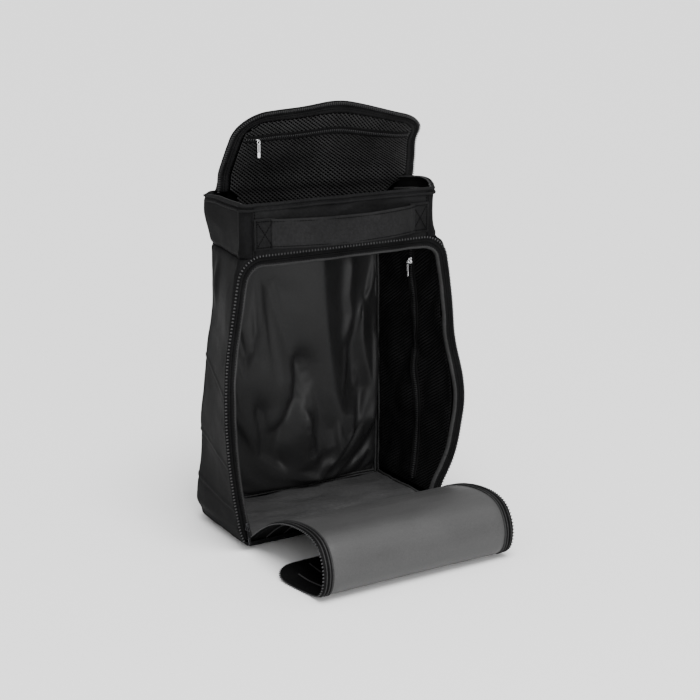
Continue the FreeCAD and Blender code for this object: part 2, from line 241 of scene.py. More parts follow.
def swept(path, side, up, profile):
    """A profile of (side, up) offsets carried along a path."""
    profile = np.asarray(profile, float)
    return (path[:, None] + side[:, None] * profile[None, :, :1]
            + up[:, None] * profile[None, :, 1:])


def oval(a, b, count=10, centre=(0.0, 0.0)):
    """An oval profile."""
    turn = np.linspace(0.0, 2.0 * np.pi, count, endpoint=False)
    return np.stack([centre[0] + a * np.cos(turn), centre[1] + b * np.sin(turn)], -1)


def ribbon(a0, a1, b0, b1, grooves=(), depth=0.25):
    """A flat ribbon profile with rounded edges and sewn grooves on its upper face."""
    edge = (b1 - b0) * 0.45
    upper = [(a0, b1 - edge), (a0 + edge, b1)]
    for groove in grooves:
        upper += [(groove - 0.45, b1), (groove, b1 - depth), (groove + 0.45, b1)]
    upper += [(a1 - edge, b1), (a1, b1 - edge)]
    lower = [(a1, b0 + edge), (a1 - edge, b0), (a0 + edge, b0), (a0, b0 + edge)]
    return np.array(upper + lower)


def bead_shape(length, width, height):
    """Points (along, across, up) and faces of one small rounded bead, such as a tooth."""
    ring = oval(0.5 * width, 0.5 * height, 6)
    stations = [(-0.5, 0.45), (-0.38, 0.95), (0.38, 0.95), (0.5, 0.45)]
    points = [(a * share, at * length, b * share) for at, share in stations for a, b in ring]
    return np.array(points), tube_faces(len(stations), len(ring), flip=True)


def beads(name, places, shape, material):
    """The same bead at many places, each given as (origin, along, across, up) vectors."""
    base, base_faces = shape
    points, faces = [], []
    for origin, along, across, up in places:
        start = len(points) * len(base)
        points.append(origin + base[:, :1] * along + base[:, 1:2] * across + base[:, 2:] * up)
        faces += [tuple(start + i for i in face) for face in base_faces]
    return make_mesh(name, np.concatenate(points), faces, material)


TOOTH_PITCH = 3.6
TOOTH = bead_shape(2.3, 1.7, 1.3)
FINE_PITCH = 2.5
STITCH = bead_shape(2.1, 0.8, 0.6)
STITCH_PITCH = 3.0


def bead_places(path, side, up, pitch):
    """Places for beads along a path: along is the path, across the side vector."""
    packed = resample(np.concatenate([path, side, up], axis=1), step=pitch)
    path, side, up = packed[:, :3], unit(packed[:, 3:6]), unit(packed[:, 6:])
    return list(zip(path, tangents(path), side, up))


def stitch_places(path, up, pitch=STITCH_PITCH):
    """Places for stitches, which lie along their path."""
    packed = resample(np.concatenate([path, up], axis=1), step=pitch)
    path, up = packed[:, :3], unit(packed[:, 3:])
    along = tangents(path)
    return list(zip(path, np.cross(along, up), along, up))


# ======================================================================================
# Materials
# ======================================================================================
def new_material(name, colour, rough, metal=0.0, sheen=0.0, specular=0.5):
    material = bpy.data.materials.new(name)
    material.use_nodes = True
    shader = material.node_tree.nodes["Principled BSDF"]
    shader.inputs["Base Color"].default_value = (*colour, 1.0)
    shader.inputs["Roughness"].default_value = rough
    shader.inputs["Metallic"].default_value = metal
    shader.inputs["Specular IOR Level"].default_value = specular
    shader.inputs["Sheen Weight"].default_value = sheen
    shader.inputs["Sheen Roughness"].default_value = 0.45
    return material


class Graph:
    """Short names for wiring a material's nodes."""

    def __init__(self, material):
        self.tree = material.node_tree
        self.shader = self.tree.nodes["Principled BSDF"]

    def node(self, kind, inputs=None, **settings):
        made = self.tree.nodes.new(kind)
        for key, value in settings.items():
            setattr(made, key, value)
        for key, value in (inputs or {}).items():
            if isinstance(value, bpy.types.NodeSocket):
                self.tree.links.new(value, made.inputs[key])
            else:
                made.inputs[key].default_value = value
        return made

    def math(self, operation, a, b=0.0):
        return self.node("ShaderNodeMath", {0: a, 1: b}, operation=operation).outputs[0]

    def ramp(self, factor, low, high, dark, light):
        return self.node("ShaderNodeMapRange", {"Value": factor, "From Min": low,
                                                "From Max": high, "To Min": dark,
                                                "To Max": light}).outputs[0]

    def noise(self, vector, scale, detail=2.0, distortion=0.0):
        return self.node("ShaderNodeTexNoise", {"Vector": vector, "Scale": scale,
                                                "Detail": detail,
                                                "Distortion": distortion}).outputs["Fac"]

    def link(self, socket, name):
        self.tree.links.new(socket, self.shader.inputs[name])

    def bump(self, layers):
        """Heights and how far each moves the surface, in metres."""
        normal = None
        for height, distance in layers:
            inputs = {"Height": height, "Distance": distance, "Strength": 1.0}
            if normal is not None:
                inputs["Normal"] = normal
            normal = self.node("ShaderNodeBump", inputs).outputs[0]
        self.link(normal, "Normal")


def waves(graph, vector, pitch, direction, turn=0.0):
    """Threads: even bands of the given pitch in metres across one direction."""
    mapped = graph.node("ShaderNodeMapping", {"Vector": vector,
                                              "Rotation": (0.0, 0.0, turn)}).outputs[0]
    return graph.node("ShaderNodeTexWave", {"Vector": mapped, "Scale": 0.31416 / pitch,
                                            "Distortion": 0.0},
                      wave_type="BANDS", bands_direction=direction).outputs["Fac"]


def woven(name, colour, rough, pitch=0.0007, relief=0.00004, twill=False, sheen=0.25,
          variation=0.25, specular=0.4, crumple=0.0, use_uv=True, slubs=0.14):
    """Cloth: crossed threads, uneven dye and wear, and a soft sheen."""
    material = new_material(name, colour, rough, sheen=sheen, specular=specular)
    graph = Graph(material)
    place = graph.node("ShaderNodeTexCoord")
    cloth = place.outputs["UV" if use_uv else "Object"]
    turn = math.radians(30.0) if twill else 0.0
    warp = waves(graph, cloth, pitch, "X", turn)
    weft = waves(graph, cloth, pitch * (2.2 if twill else 1.0), "Y", turn)
    threads = graph.math("MULTIPLY", warp, weft)
    blotch = graph.noise(place.outputs["Object"], 22.0, 5.0)
    fibre = graph.noise(place.outputs["Object"], 900.0)
    shade = graph.ramp(blotch, 0.3, 0.7, 1.0 - variation, 1.0 + variation)
    weave_shade = graph.ramp(threads, 0.0, 1.0, 0.8, 1.15)
    fibre_shade = graph.ramp(fibre, 0.3, 0.7, 0.85, 1.15)
    slub = graph.noise(place.outputs["Object"], 330.0)
    slub_shade = graph.ramp(slub, 0.3, 0.7, 1.0 - slubs, 1.0 + slubs)
    fibre_shade = graph.math("MULTIPLY", fibre_shade, slub_shade)
    total = graph.math("MULTIPLY", graph.math("MULTIPLY", shade, weave_shade), fibre_shade)
    tint = graph.node("ShaderNodeVectorMath", {0: (*colour,), "Scale": total},
                      operation="SCALE").outputs[0]
    graph.link(tint, "Base Color")
    graph.link(graph.ramp(blotch, 0.25, 0.75, rough - 0.06, rough + 0.08), "Roughness")
    layers = [(threads, relief), (fibre, relief * 0.4)]
    if crumple:
        layers.insert(0, (graph.noise(place.outputs["Object"], 38.0, 4.0, 0.6), crumple))
    graph.bump(layers)
    return material


def plastic(name, colour, rough):
    """Moulded zip teeth with fine flow marks."""
    material = new_material(name, colour, rough, specular=0.25)
    graph = Graph(material)
    place = graph.node("ShaderNodeTexCoord").outputs["Object"]
    grain = graph.noise(place, 1200.0)
    graph.link(graph.ramp(grain, 0.3, 0.7, rough - 0.08, rough + 0.08), "Roughness")
    graph.bump([(grain, 0.00002)])
    return material


def metal(name, colour, rough, wear=0.1):
    """Plated or painted metal, brushed along Z and rubbed a little."""
    material = new_material(name, colour, rough, metal=1.0)
    graph = Graph(material)
    place = graph.node("ShaderNodeTexCoord").outputs["Object"]
    brushed = graph.node("ShaderNodeMapping", {"Vector": place,
                                               "Scale": (2500.0, 2500.0, 120.0)}).outputs[0]
    lines = graph.noise(brushed, 1.0)
    graph.link(graph.ramp(lines, 0.3, 0.7, max(0.03, rough - wear), rough + wear), "Roughness")
    graph.bump([(lines, 0.00001)])
    return material


NYLON = woven("black_nylon", (0.0074, 0.0074, 0.0077), 0.55, twill=True, sheen=0.0,
              specular=0.012, crumple=0.0004)
# Painted light: a lighter copy of the black nylon for the front band and the handle patches,
# its tone set by how the front-facing band is lit rather than by the cloth.
LIT_BAND_NYLON = woven("band_nylon_painted_light", (0.0103, 0.0103, 0.0106), 0.55, twill=True, sheen=0.0,
                   specular=0.012, crumple=0.0003)
# Painted light: a lighter copy of the black nylon for the handle strap, so the arched strap
# reads as catching more light than the band behind it.
LIT_STRAP_NYLON = woven("strap_nylon_painted_light", (0.0135, 0.0135, 0.0138), 0.5, twill=True, sheen=0.0,
                    specular=0.02, crumple=0.0003)
# Painted shade: a darker copy of the black nylon for the door's outer cloth, standing in for
# the shade inside the rolled door.
SHADED_DOOR_NYLON = woven("door_nylon_painted_shade", (0.0045, 0.0045, 0.0047), 0.55, twill=True, sheen=0.0,
                   specular=0.01, crumple=0.0003)
SATIN = woven("satin_lining", (0.0125, 0.0125, 0.0128), 0.45, pitch=0.0004,
              relief=0.00001, sheen=0.0, variation=0.1, specular=0.18, crumple=0.0002,
              slubs=0.04)
# Painted light: a lighter copy of the satin lining for the compartment floor, standing in for
# the front light that falls on it.
LIT_FLOOR_SATIN = woven("floor_satin_painted_light", (0.043, 0.043, 0.0433), 0.42, pitch=0.0004,
                    relief=0.00001, sheen=0.0, variation=0.12, specular=0.3,
                    crumple=0.0003)
# Near-black copy of the satin lining. On the right wall's lining and on the sheet behind the
# lid it is painted shade; on the lid's inner cloth it is that cloth's own dark colour with
# painted shade on top.
DARK_SHADED_LINING = woven("dark_lining_painted_shade", (0.0016, 0.0016, 0.0017), 0.5, pitch=0.0004,
                   relief=0.00001, sheen=0.0, specular=0.01)
DOOR_GREY = woven("grey_door_lining", (0.046, 0.046, 0.046), 0.45, pitch=0.0006,
                  relief=0.00002, sheen=0.0, variation=0.05, specular=0.3, slubs=0.03)
NET = woven("mesh_net", (0.028, 0.028, 0.0283), 0.55, pitch=0.0009, relief=0.00003,
            sheen=0.0, specular=0.03)
# Painted shade: a darker copy of the net for the right wall's pocket, which lies in shade at
# the back of the compartment.
SHADED_SIDE_NET = woven("side_mesh_net_painted_shade", (0.0115, 0.0115, 0.0118), 0.55, pitch=0.0009,
                 relief=0.00003, sheen=0.0, specular=0.02)
TAPE = woven("zip_tape", (0.0062, 0.0062, 0.0064), 0.6, pitch=0.0009, relief=0.00005,
             sheen=0.0, specular=0.02)
BINDING = woven("binding_tape", (0.03, 0.03, 0.0303), 0.55, pitch=0.001,
                relief=0.00006, sheen=0.0, specular=0.03)
BORDER = woven("border_cloth", (0.0095, 0.0095, 0.0098), 0.55, pitch=0.001,
               relief=0.00006, sheen=0.0, specular=0.02)
SEAM_TAPE = woven("seam_tape", (0.032, 0.032, 0.0323), 0.55, pitch=0.001, relief=0.00006,
                  sheen=0.0, specular=0.03)
TEETH = plastic("zip_teeth", (0.03, 0.03, 0.031), 0.36)
FINE_TEETH = plastic("fine_zip_teeth", (0.02, 0.02, 0.0207), 0.36)
THREAD = woven("sewing_thread", (0.0015, 0.0015, 0.0016), 0.6, pitch=0.0004, use_uv=False,
               sheen=0.0, specular=0.02)
SILVER = metal("bright_metal", (0.78, 0.78, 0.79), 0.18)
DARK_METAL = metal("dark_metal", (0.05, 0.05, 0.053), 0.33)
BOARD = woven("stiff_board", (0.02, 0.02, 0.02), 0.6, use_uv=False, sheen=0.0,
              specular=0.2)


# ======================================================================================
# Shape of the shell: walls, opening and rim
# ======================================================================================
FORWARD = {LEFT: 1.0, RIGHT: 8.0}
# Half width of each side along its open front edge: height, width.
FRONT_WIDTHS = {
    LEFT: [(10, 122), (20, 127), (60, 134), (100, 139), (140, 141.5), (172, 141.6),
           (200, 140), (225, 137), (255, 131.5), (287, 126), (311, 121), (319, 118.5),
           (335, 117.5), (371, 118)],
    RIGHT: [(10, 122), (34, 129.5), (51, 138.5), (68, 144.5), (85, 148), (103, 150.5),
            (120, 153), (135, 153.5), (156, 151), (174, 146.5), (192, 141.5), (210, 138.5),
            (245, 136.5), (279, 133), (296, 130.5), (311, 128.5), (319, 125), (332, 117.5),
            (350, 116), (371, 116)],
}


def width_table(side):
    """Front widths at every millimetre of height, smoothed."""
    z = np.arange(0.0, 400.0)
    known = np.array(FRONT_WIDTHS[side], float)
    width = np.interp(z, known[:, 0], known[:, 1])
    weights = np.exp(-0.5 * (np.arange(-15, 16) / 5.0) ** 2)
    padded = np.pad(width, 15, mode="edge")
    return z, np.convolve(padded, weights / weights.sum(), mode="valid")


WIDTHS = {side: width_table(side) for side in (LEFT, RIGHT)}


def bow_share(z):
    """How far up its swell a side wall is at height z, from 0 to 1."""
    rise = np.clip((np.asarray(z, float) - BASE_TOP) / (OPENING_TOP - BASE_TOP), 0.0, 1.0)
    return np.sin(np.pi * rise ** 0.85)


def front_y(z, side):
    return FRONT_Y - FORWARD[side] * bow_share(z)


def back_y(x, z):
    """The back leans in towards the divider seam, more on the left, and spreads low down."""
    shift = ease(z, [10, 110, 300, 371], [-3, 2, 14, 11])
    return BACK_Y - shift * (0.7 - 0.3 * np.clip(np.asarray(x) / RIM_HALF, -1.0, 1.0))


def wall_x(t, z, side):
    """Distance of a side wall from the middle plane. t is 0 at the back and 1 in front."""
    t = np.asarray(t, float)
    z = np.asarray(z, float)
    rear = BASE_HALF + (RIM_HALF - BASE_HALF) * (z - BASE_TOP) / HEIGHT
    if side == LEFT:
        rear = rear - ease(z, [10, 26, 120, 240, 304, 371], [1, -5, 2.5, 8.5, 10, 0])
        rear = rear - 1.5 * smooth((z - 366.0) / 5.0)
    else:
        rear = rear - ease(z, [20, 240, 304, 371], [0, 1, 2, 0])
    front = np.interp(z, *WIDTHS[side])
    width = rear + (front - rear) * np.clip(t, 0.0, 1.0) ** 1.15
    if side == RIGHT:
        width = width + 9.0 * smooth((z - 322) / 40) * np.exp(-((t - 0.68) / 0.27) ** 2)
    return width


def rim_lift(y, side):
    """How far the rim stands above its plain height at depth y."""
    if side == LEFT:
        return -3.0 * smooth((np.asarray(y, float) - 5.0) / 45.0)
    return 6.0 * np.exp(-((np.asarray(y, float) + 24.0) / 36.0) ** 2)


def zip_side_x(z, side, inset=0.0):
    """Half width of the opening's zip line at height z, rounded at the top corner."""
    z = np.asarray(z, float)
    radius = CORNER_RADIUS - inset
    rise = np.clip((z - (OPENING_TOP - CORNER_RADIUS)) / radius, 0.0, 1.0)
    return wall_x(1.0, z, side) - inset - radius * (1.0 - np.sqrt(1.0 - rise ** 2))


ZIP_LOW = 12.5


def opening_line(inset=0.0, step=1.0):
    """The zip line in 3-D, from the bottom left up, over and down to the bottom right."""
    halves = []
    for side in (LEFT, RIGHT):
        turn = np.linspace(0.0, np.pi / 2, 24)[1:]
        corner = OPENING_TOP - CORNER_RADIUS + (CORNER_RADIUS - inset) * np.sin(turn)
        z = np.concatenate([np.linspace(ZIP_LOW, OPENING_TOP - CORNER_RADIUS, 90), corner])
        x = zip_side_x(z, side, inset)
        halves.append(np.stack([side * x, front_y(z, side), z], -1))
    line = np.concatenate([halves[0], halves[1][::-1]])
    return resample(line, step=step)


def opening_frame(step=1.0):
    """The zip line with its outward and back directions."""
    line = opening_line(0.0, step)
    along = tangents(line)
    back = every([0.0, 1.0, 0.0], line)
    out = unit(np.cross(along, back))
    middle = np.array([0.0, 0.0, 160.0])
    out[np.einsum("ij,ij->i", out, line - middle) < 0] *= -1.0
    return line, out, unit(back)


def plan_line(z, side, upper):
    """The outer wall seen from above at height z: front seam, corner, side, back corner."""
    wall = float(wall_x(1.0, z, side))
    fy = float(front_y(z, side))
    zip_x = float(zip_side_x(z, side))
    end_x = FRONT_SEAM_X if upper else max(FRONT_SEAM_X, zip_x)
    end_x = min(end_x, wall)
    round_front = min(FRONT_ROUND, 0.8 * (wall - end_x))
    points = [(end_x, fy)]
    for turn in np.linspace(0.0, np.pi / 2, 9):
        points.append((wall - round_front * (1.0 - math.sin(turn)),
                       fy + round_front * (1.0 - math.cos(turn))))
    wall_back = float(wall_x(0.0, z, side))
    by = float(back_y(side * wall_back, z))
    depth = by - fy
    t_low = BACK_ROUND / depth
    t_high = 1.0 - round_front / depth
    for t in np.linspace(t_high, t_low, 40)[1:]:
        points.append((float(wall_x(t, z, side)), by - t * depth))
    edge = float(wall_x(t_low, z, side))
    for turn in np.linspace(0.0, np.pi / 2, 9)[1:]:
        points.append((edge - BACK_ROUND * (1.0 - math.cos(turn)),
                       by - BACK_ROUND * (1.0 - math.sin(turn))))
    return [(side * x, y) for x, y in points]


def grid_normals(grid):
    """Unit normals of a grid."""
    return unit(np.cross(np.gradient(grid, axis=1), np.gradient(grid, axis=0)))


def outward(grid, normals):
    """Normals turned away from the middle of the bag."""
    middle = np.array([0.0, 0.0, 190.0])
    sign = np.sign(((grid - middle) * normals).sum(-1, keepdims=True))
    return normals * np.where(sign == 0, 1.0, sign)


def shell_wrinkles(grid, seed, strength=1.0):
    """How far the cloth of the shell stands in or out of its plain shape."""
    z = grid[..., 2]
    soft = cloud(grid, (80, 80, 58), seed) * 3.0
    crease = cloud(grid, (46, 90, 60), seed + 3, ridged=True) * 0.7
    fine = cloud(grid, (26, 26, 18), seed + 5) * 0.35
    pucker = np.exp(-np.abs(z - DIVIDER_Z) / 9.0)
    gathers = cloud(grid, (16, 16, 40), seed + 8) * 0.8 * pucker
    held = (1.0 - 0.85 * np.exp(-((z - RIM_Z) / 9.0) ** 2)
            - 0.6 * np.exp(-((z - BASE_TOP) / 9) ** 2))
    seam = -2.0 * np.exp(-((z - DIVIDER_Z) / 2.8) ** 2)
    return strength * held * (soft + crease + fine) + gathers + seam


# Heights of each sewn line of the left side, at the back and at the front.
QUILT_LINES = [(108.0, 94.0), (55.0, 47.0), (197.0, 165.0)]


def quilting(grid):
    """Sewn lines that run down and forward across the left side, and one soft fold."""
    y, z = grid[..., 1], grid[..., 2]
    share = np.clip((BACK_Y - y) / DEPTH, 0.0, 1.0)
    total = np.zeros(y.shape)
    for rear_z, front_z in QUILT_LINES:
        gap = z - (rear_z + (front_z - rear_z) * share)
        total = (total + 0.9 * np.exp(-(gap / 1.7) ** 2)
                 - 0.4 * np.exp(-((gap + 3.4) / 2.2) ** 2))
    lean = y - (18.0 - 0.2 * (z - 278.0))
    fold = 3.2 * np.exp(-(lean / 8.0) ** 2) * np.exp(-((z - 280.0) / 22.0) ** 2)
    return total + fold


def shell_panel(side, z_low, z_high, rows, cols, upper, seed):
    """Grid of a side wall's cloth between two heights."""
    grid = np.zeros((rows, cols, 3))
    for i, z in enumerate(np.linspace(z_low, z_high, rows)):
        line = resample(plan_line(z, side, upper), count=cols)
        grid[i, :, :2] = line
        grid[i, :, 2] = z
    if upper:
        rise = np.linspace(0.0, 1.0, rows)[:, None] ** 1.5
        grid[..., 2] += rise * rim_lift(grid[..., 1], side) * smooth((grid[..., 1] + 58) / 20)
    normals = outward(grid, grid_normals(grid))
    share = np.linspace(0.0, 1.0, cols)
    edges = smooth(share / 0.07) * (0.25 + 0.75 * smooth((1.0 - share) / 0.05))
    moves = shell_wrinkles(grid, seed)
    if side == LEFT and not upper:
        moves = moves + quilting(grid)
    moves = moves * edges[None, :]
    grid = grid + normals * moves[..., None]
    return grid


def facing(grid, wanted):
    """Whether a grid's faces must be flipped to point along the wanted direction."""
    normal = np.cross(grid[1:, :-1] - grid[:-1, :-1], grid[:-1, 1:] - grid[:-1, :-1])
    return float((normal.reshape(-1, 3).mean(axis=0) * np.asarray(wanted)).sum()) > 0


def oriented_sheet(name, grid, material, wanted, thickness=0.0, offset=-1.0):
    return sheet(name, grid, material, thickness, flip=facing(grid, wanted), offset=offset)


# ======================================================================================
# Shell pieces
# ======================================================================================
WALL_THICK = 2.2


def straighten(piece):
    """Ride on the bag with a mesh of its own."""
    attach(piece, "bag")
    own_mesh(piece)


def build_walls():
    for side, word in ((LEFT, "left"), (RIGHT, "right")):
        wanted = (side, 0.0, 0.0)
        lower = shell_panel(side, BASE_TOP, DIVIDER_Z, 150, 120, False, 11 + side)
        piece = oriented_sheet(word + "_side_cloth", lower, NYLON, wanted, WALL_THICK)
        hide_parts(word + "_side_panel")
        straighten(piece)
        upper = shell_panel(side, DIVIDER_Z, RIM_Z, 40, 110, True, 11 + side)
        piece = oriented_sheet(word + "_top_cloth", upper, NYLON, wanted, WALL_THICK)
        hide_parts(word + "_side_panel")
        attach(piece, "bag")


def back_grid(z_low, z_high, rows, cols, inset, seed, strength=0.8):
    """Grid across the back between the two back corners."""
    grid = np.zeros((rows, cols, 3))
    for i, z in enumerate(np.linspace(z_low, z_high, rows)):
        ends = [side * (float(wall_x(0.12, z, side)) - BACK_ROUND) for side in (LEFT, RIGHT)]
        x = np.linspace(ends[0], ends[1], cols)
        grid[i] = np.stack([x, back_y(x, z) - inset, np.full(cols, z)], -1)
    share = np.linspace(0.0, 1.0, cols)
    edges = smooth(share / 0.06) * smooth((1.0 - share) / 0.06)
    if strength:
        grid[..., 1] += shell_wrinkles(grid, seed, strength) * edges[None, :]
    return grid


def build_back():
    grid = back_grid(BASE_TOP, RIM_Z, 150, 110, 0.0, 23, 0.6)
    piece = oriented_sheet("back_cloth", grid, NYLON, (0, 1, 0), WALL_THICK)
    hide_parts("back_panel")
    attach(piece, "bag")
    foam = back_grid(FLOOR_Z + 2, DIVIDER_Z - 2, 30, 24, 4.4, 0, 0.0)
    piece = oriented_sheet("back_foam_sheet", foam, BOARD, (0, 1, 0), 1.6)
    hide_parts("back_foam")
    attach(piece, "bag")
    seams = []
    for side in (LEFT, RIGHT):
        z = np.linspace(BASE_TOP, RIM_Z, 180)
        x = np.array([side * (float(wall_x(0.12, h, side)) - BACK_ROUND) for h in z])
        path = np.stack([x, back_y(x, z) + 0.2, z], -1)
        across = every([1.0, 0.0, 0.0], z)
        rear = every([0.0, 1.0, 0.0], z)
        seams.append(swept(path, across, rear, oval(1.5, 1.3, 8)))
    piece = tubes("back_seam_piping", seams, BINDING)
    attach(piece, "bag")


def base_outline(inset, count=260):
    """Rounded outline of the base, pulled in by an inset."""
    half_x, half_y = BASE_HALF - inset, BACK_Y + 1.5 - inset
    radius = max(4.0, BACK_ROUND - inset * 0.3)
    points = []
    for cx, cy, start in ((1, -1, -90), (1, 1, 0), (-1, 1, 90), (-1, -1, 180)):
        tight = radius if cy > 0 else 3.0
        for turn in np.radians(np.linspace(start, start + 90, 10)):
            points.append((cx * (half_x - tight) + tight * math.cos(turn),
                           cy * (half_y - tight) + tight * math.sin(turn)))
    points.append(points[0])
    return resample(points, count=count + 1)[:-1]


def build_base():
    """Padded base whose edge rolls under to the ground."""
    profile = [(0.0, BASE_TOP + 0.4), (0.2, 8.0), (2.0, 5.2), (5.5, 2.9), (11.0, 1.2),
               (18.0, 0.3), (25.0, 0.0), (35.0, 0.0), (46.0, 0.0)]
    rings = []
    for inset, z in resample(profile, count=22):
        outline = base_outline(inset)
        rings.append(np.column_stack([outline, np.full(len(outline), z)]))
    grid = np.array(rings)
    moves = cloud(grid, (34, 34, 20), 31) * smooth(grid[..., 2] / 4.0)
    grid = grid + outward(grid, grid_normals(grid)) * moves[..., None]
    grid[..., 2] = np.clip(grid[..., 2], 0.0, BASE_TOP + 0.4)
    faces = quads(grid.shape[0], grid.shape[1], True)
    last = (grid.shape[0] - 1) * grid.shape[1]
    faces.append(tuple(last + i for i in range(grid.shape[1])))
    uv = grid[..., :2].copy()
    piece = make_mesh("base_cloth", grid, faces, NYLON, uv)
    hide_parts("base_panel")
    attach(piece, "bag")
    board = np.array([np.column_stack([base_outline(4.5), np.full(260, z)])
                      for z in (BASE_TOP - 0.4, BASE_TOP + 1.2)])
    faces = quads(2, 260, True) + [tuple(range(260))[::-1], tuple(range(260, 520))]
    piece = make_mesh("base_board_sheet", board, faces, BOARD)
    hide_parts("base_board")
    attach(piece, "bag")


def band_low(x):
    """Height of the band's lower edge, along the zip's top line and corners."""
    line = opening_line(0.0, 0.5)
    top = line[line[:, 2] > OPENING_TOP - CORNER_RADIUS + 1]
    return np.interp(x, top[:, 0], top[:, 2]) - 0.2


def band_y(x, z):
    """Front face of the band, swelling softly over its padding."""
    swell = 1.8 * np.sin(np.pi * np.clip((z - DIVIDER_Z) / (RIM_Z - DIVIDER_Z), 0, 1))
    return FRONT_Y - 0.3 - swell * (1.0 - (np.asarray(x) / 112.0) ** 6)


def build_band():
    """Front panel of the top compartment, between its two upright seams."""
    xs = np.linspace(-FRONT_SEAM_X, FRONT_SEAM_X, 220)
    low = band_low(xs)
    rows = 64
    z = low[None, :] + (RIM_Z - low)[None, :] * np.linspace(0.0, 1.0, rows)[:, None]
    x = np.tile(xs, (rows, 1))
    grid = np.stack([x, band_y(x, z), z], -1)
    edge = smooth((FRONT_SEAM_X - np.abs(x)) / 9.0)
    edge = edge * smooth((z - low) / 6) * smooth((RIM_Z - z) / 8)
    wrinkle = (cloud(grid, (58, 30, 17), 41) * 2.6 + cloud(grid, (24, 20, 9), 42) * 0.7
               + cloud(grid, (60, 30, 14), 44, ridged=True) * 0.7)
    grid[..., 1] -= wrinkle * edge
    seam = np.exp(-((FRONT_SEAM_X - np.abs(x)) / 1.6) ** 2)
    grid[..., 1] += 0.9 * seam
    # The band takes the lighter nylon copy, which holds painted light.
    piece = oriented_sheet("front_band_cloth", grid, LIT_BAND_NYLON, (0, -1, 0), WALL_THICK)
    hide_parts("front_upper_panel", "front_corner_gussets")
    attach(piece, "bag")
    places = []
    for side in (LEFT, RIGHT):
        z = np.linspace(float(band_low(side * FRONT_SEAM_X)) + 2, RIM_Z - 3, 60)
        x = np.full(60, side * (FRONT_SEAM_X - 2.2))
        path = np.stack([x, band_y(x, z) - 0.25, z], -1)
        places += stitch_places(path, every([0.0, -1.0, 0.0], path))
    piece = beads("front_seam_stitches", places, STITCH, THREAD)
    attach(piece, "bag")


def build_corner_backing():
    """Turned-in cloth behind the seam where the band, the wall and the zip meet."""
    for side, word in ((LEFT, "left"), (RIGHT, "right")):
        x = np.linspace(98.0, 113.0, 12)[None, :] + np.zeros((12, 1))
        z = np.linspace(DIVIDER_Z - 5.0, DIVIDER_Z + 12.0, 12)[:, None] + np.zeros((1, 12))
        grid = np.stack([side * x, front_y(z, side) + 3.2 + (x - 98.0) * 0.12, z], -1)
        piece = oriented_sheet("corner_backing_" + word, grid, NYLON, (0, -1, 0), 1.0)
        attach(piece, "bag")


def build_divider():
    """Floor of the top compartment, which is the ceiling of the shoe compartment."""
    rows, cols = 40, 80
    grid = np.zeros((rows, cols, 3))
    for i, t in enumerate(np.linspace(0.985, 0.06, rows)):
        corner = 3.0 + 13.0 * float(smooth((t - 0.8) / 0.17))
        left = -(float(wall_x(t, DIVIDER_Z, LEFT)) - corner)
        right = float(wall_x(t, DIVIDER_Z, RIGHT)) - corner
        x = np.linspace(left, right, cols)
        y = back_y(x, DIVIDER_Z) - t * (back_y(x, DIVIDER_Z) - FRONT_Y)
        grid[i] = np.stack([x, y, np.full(cols, DIVIDER_Z + 1.5)], -1)
    grid[..., 2] += cloud(grid, (50, 40, 20), 51) * 1.2
    piece = oriented_sheet("divider_cloth", grid, SATIN, (0, 0, 1), 2.0)
    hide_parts("divider_panel")
    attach(piece, "bag")


# ======================================================================================
# Zip round the front opening
# ======================================================================================
def split_sides(line):
    """Masks of the left upright, the rest and the right upright of the opening."""
    upright = line[:, 2] < OPENING_TOP - CORNER_RADIUS
    return (upright & (line[:, 0] < 0), ~upright, upright & (line[:, 0] > 0))


def runs(mask, extra=1):
    """First and last index of a mask, with some neighbours so that runs meet."""
    found = np.nonzero(mask)[0]
    return max(0, found[0] - extra), min(len(mask), found[-1] + 1 + extra)


def opening_parts():
    """The opening's frame in three parts: (word, side, line, out, back)."""
    line, out, back = opening_frame()
    parts = []
    for mask, word, side in zip(split_sides(line), ("left", "top", "right"), (LEFT, 0, RIGHT)):
        a, b = runs(mask, 1 if side else 0)
        parts.append((word, side, line[a:b], out[a:b], back[a:b]))
    return parts


def place_on_bag(piece, side):
    if side:
        straighten(piece)
    else:
        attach(piece, "bag")


def build_opening_zip():
    tape_section = ribbon(-TAPE_WIDTH, 1.6, -1.8, -0.5, grooves=(-6.8, -2.4), depth=0.6)
    for word, side, line, out, back in opening_parts():
        # The ribbon's upper face looks forward, so its up direction is away from the back.
        forward = -back
        drift = cloud(line, (40, 40, 40), 61) * 0.8
        path = line + forward * (0.6 + drift[:, None] * 0.3)
        grid = swept(path, out, forward, tape_section)
        piece = tubes("door_frame_tape_" + word, [grid], TAPE)
        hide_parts("door_frame_tape")
        place_on_bag(piece, side)

        wander = cloud(line, (26, 26, 26), 62) * 0.9
        centre = line - out * (TAPE_WIDTH + wander[:, None]) + back * 2.0
        ridge = swept(centre, out, forward, oval(2.3, 2.7, 12))
        piece = tubes("door_frame_binding_" + word, [ridge], BINDING)
        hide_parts("door_frame_binding")
        place_on_bag(piece, side)

        places = bead_places(path + forward * 0.3 + out * 0.3, out, forward, TOOTH_PITCH)
        piece = beads("door_frame_teeth_" + word, places, TOOTH, TEETH)
        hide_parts("door_frame_chain")
        place_on_bag(piece, side)

        places = stitch_places(path + forward * -0.35 - out * 5.2, forward)
        places += stitch_places(centre + forward * 2.4 + out * 0.9, forward)
        piece = beads("door_frame_stitches_" + word, places, STITCH, THREAD)
        place_on_bag(piece, side)


# ======================================================================================
# Inside of the shoe compartment
# ======================================================================================
LINING_DEPTH = 5.0
MESH_DEPTH = 6.6
BACK_LINING_INSET = 7.0


def inner_x(y, z, side, depth):
    """Inner face of a side wall's lining at depth y, easing out to the binding in front."""
    z = np.asarray(z, float)
    fy = front_y(z, side)
    by = back_y(side * 110.0, z)
    t = np.clip((by - y) / (by - fy), 0.0, 1.0)
    near = smooth(1.0 - (y - fy) / 22.0)
    return wall_x(t, z, side) - depth - (TAPE_WIDTH - depth + 0.6) * near


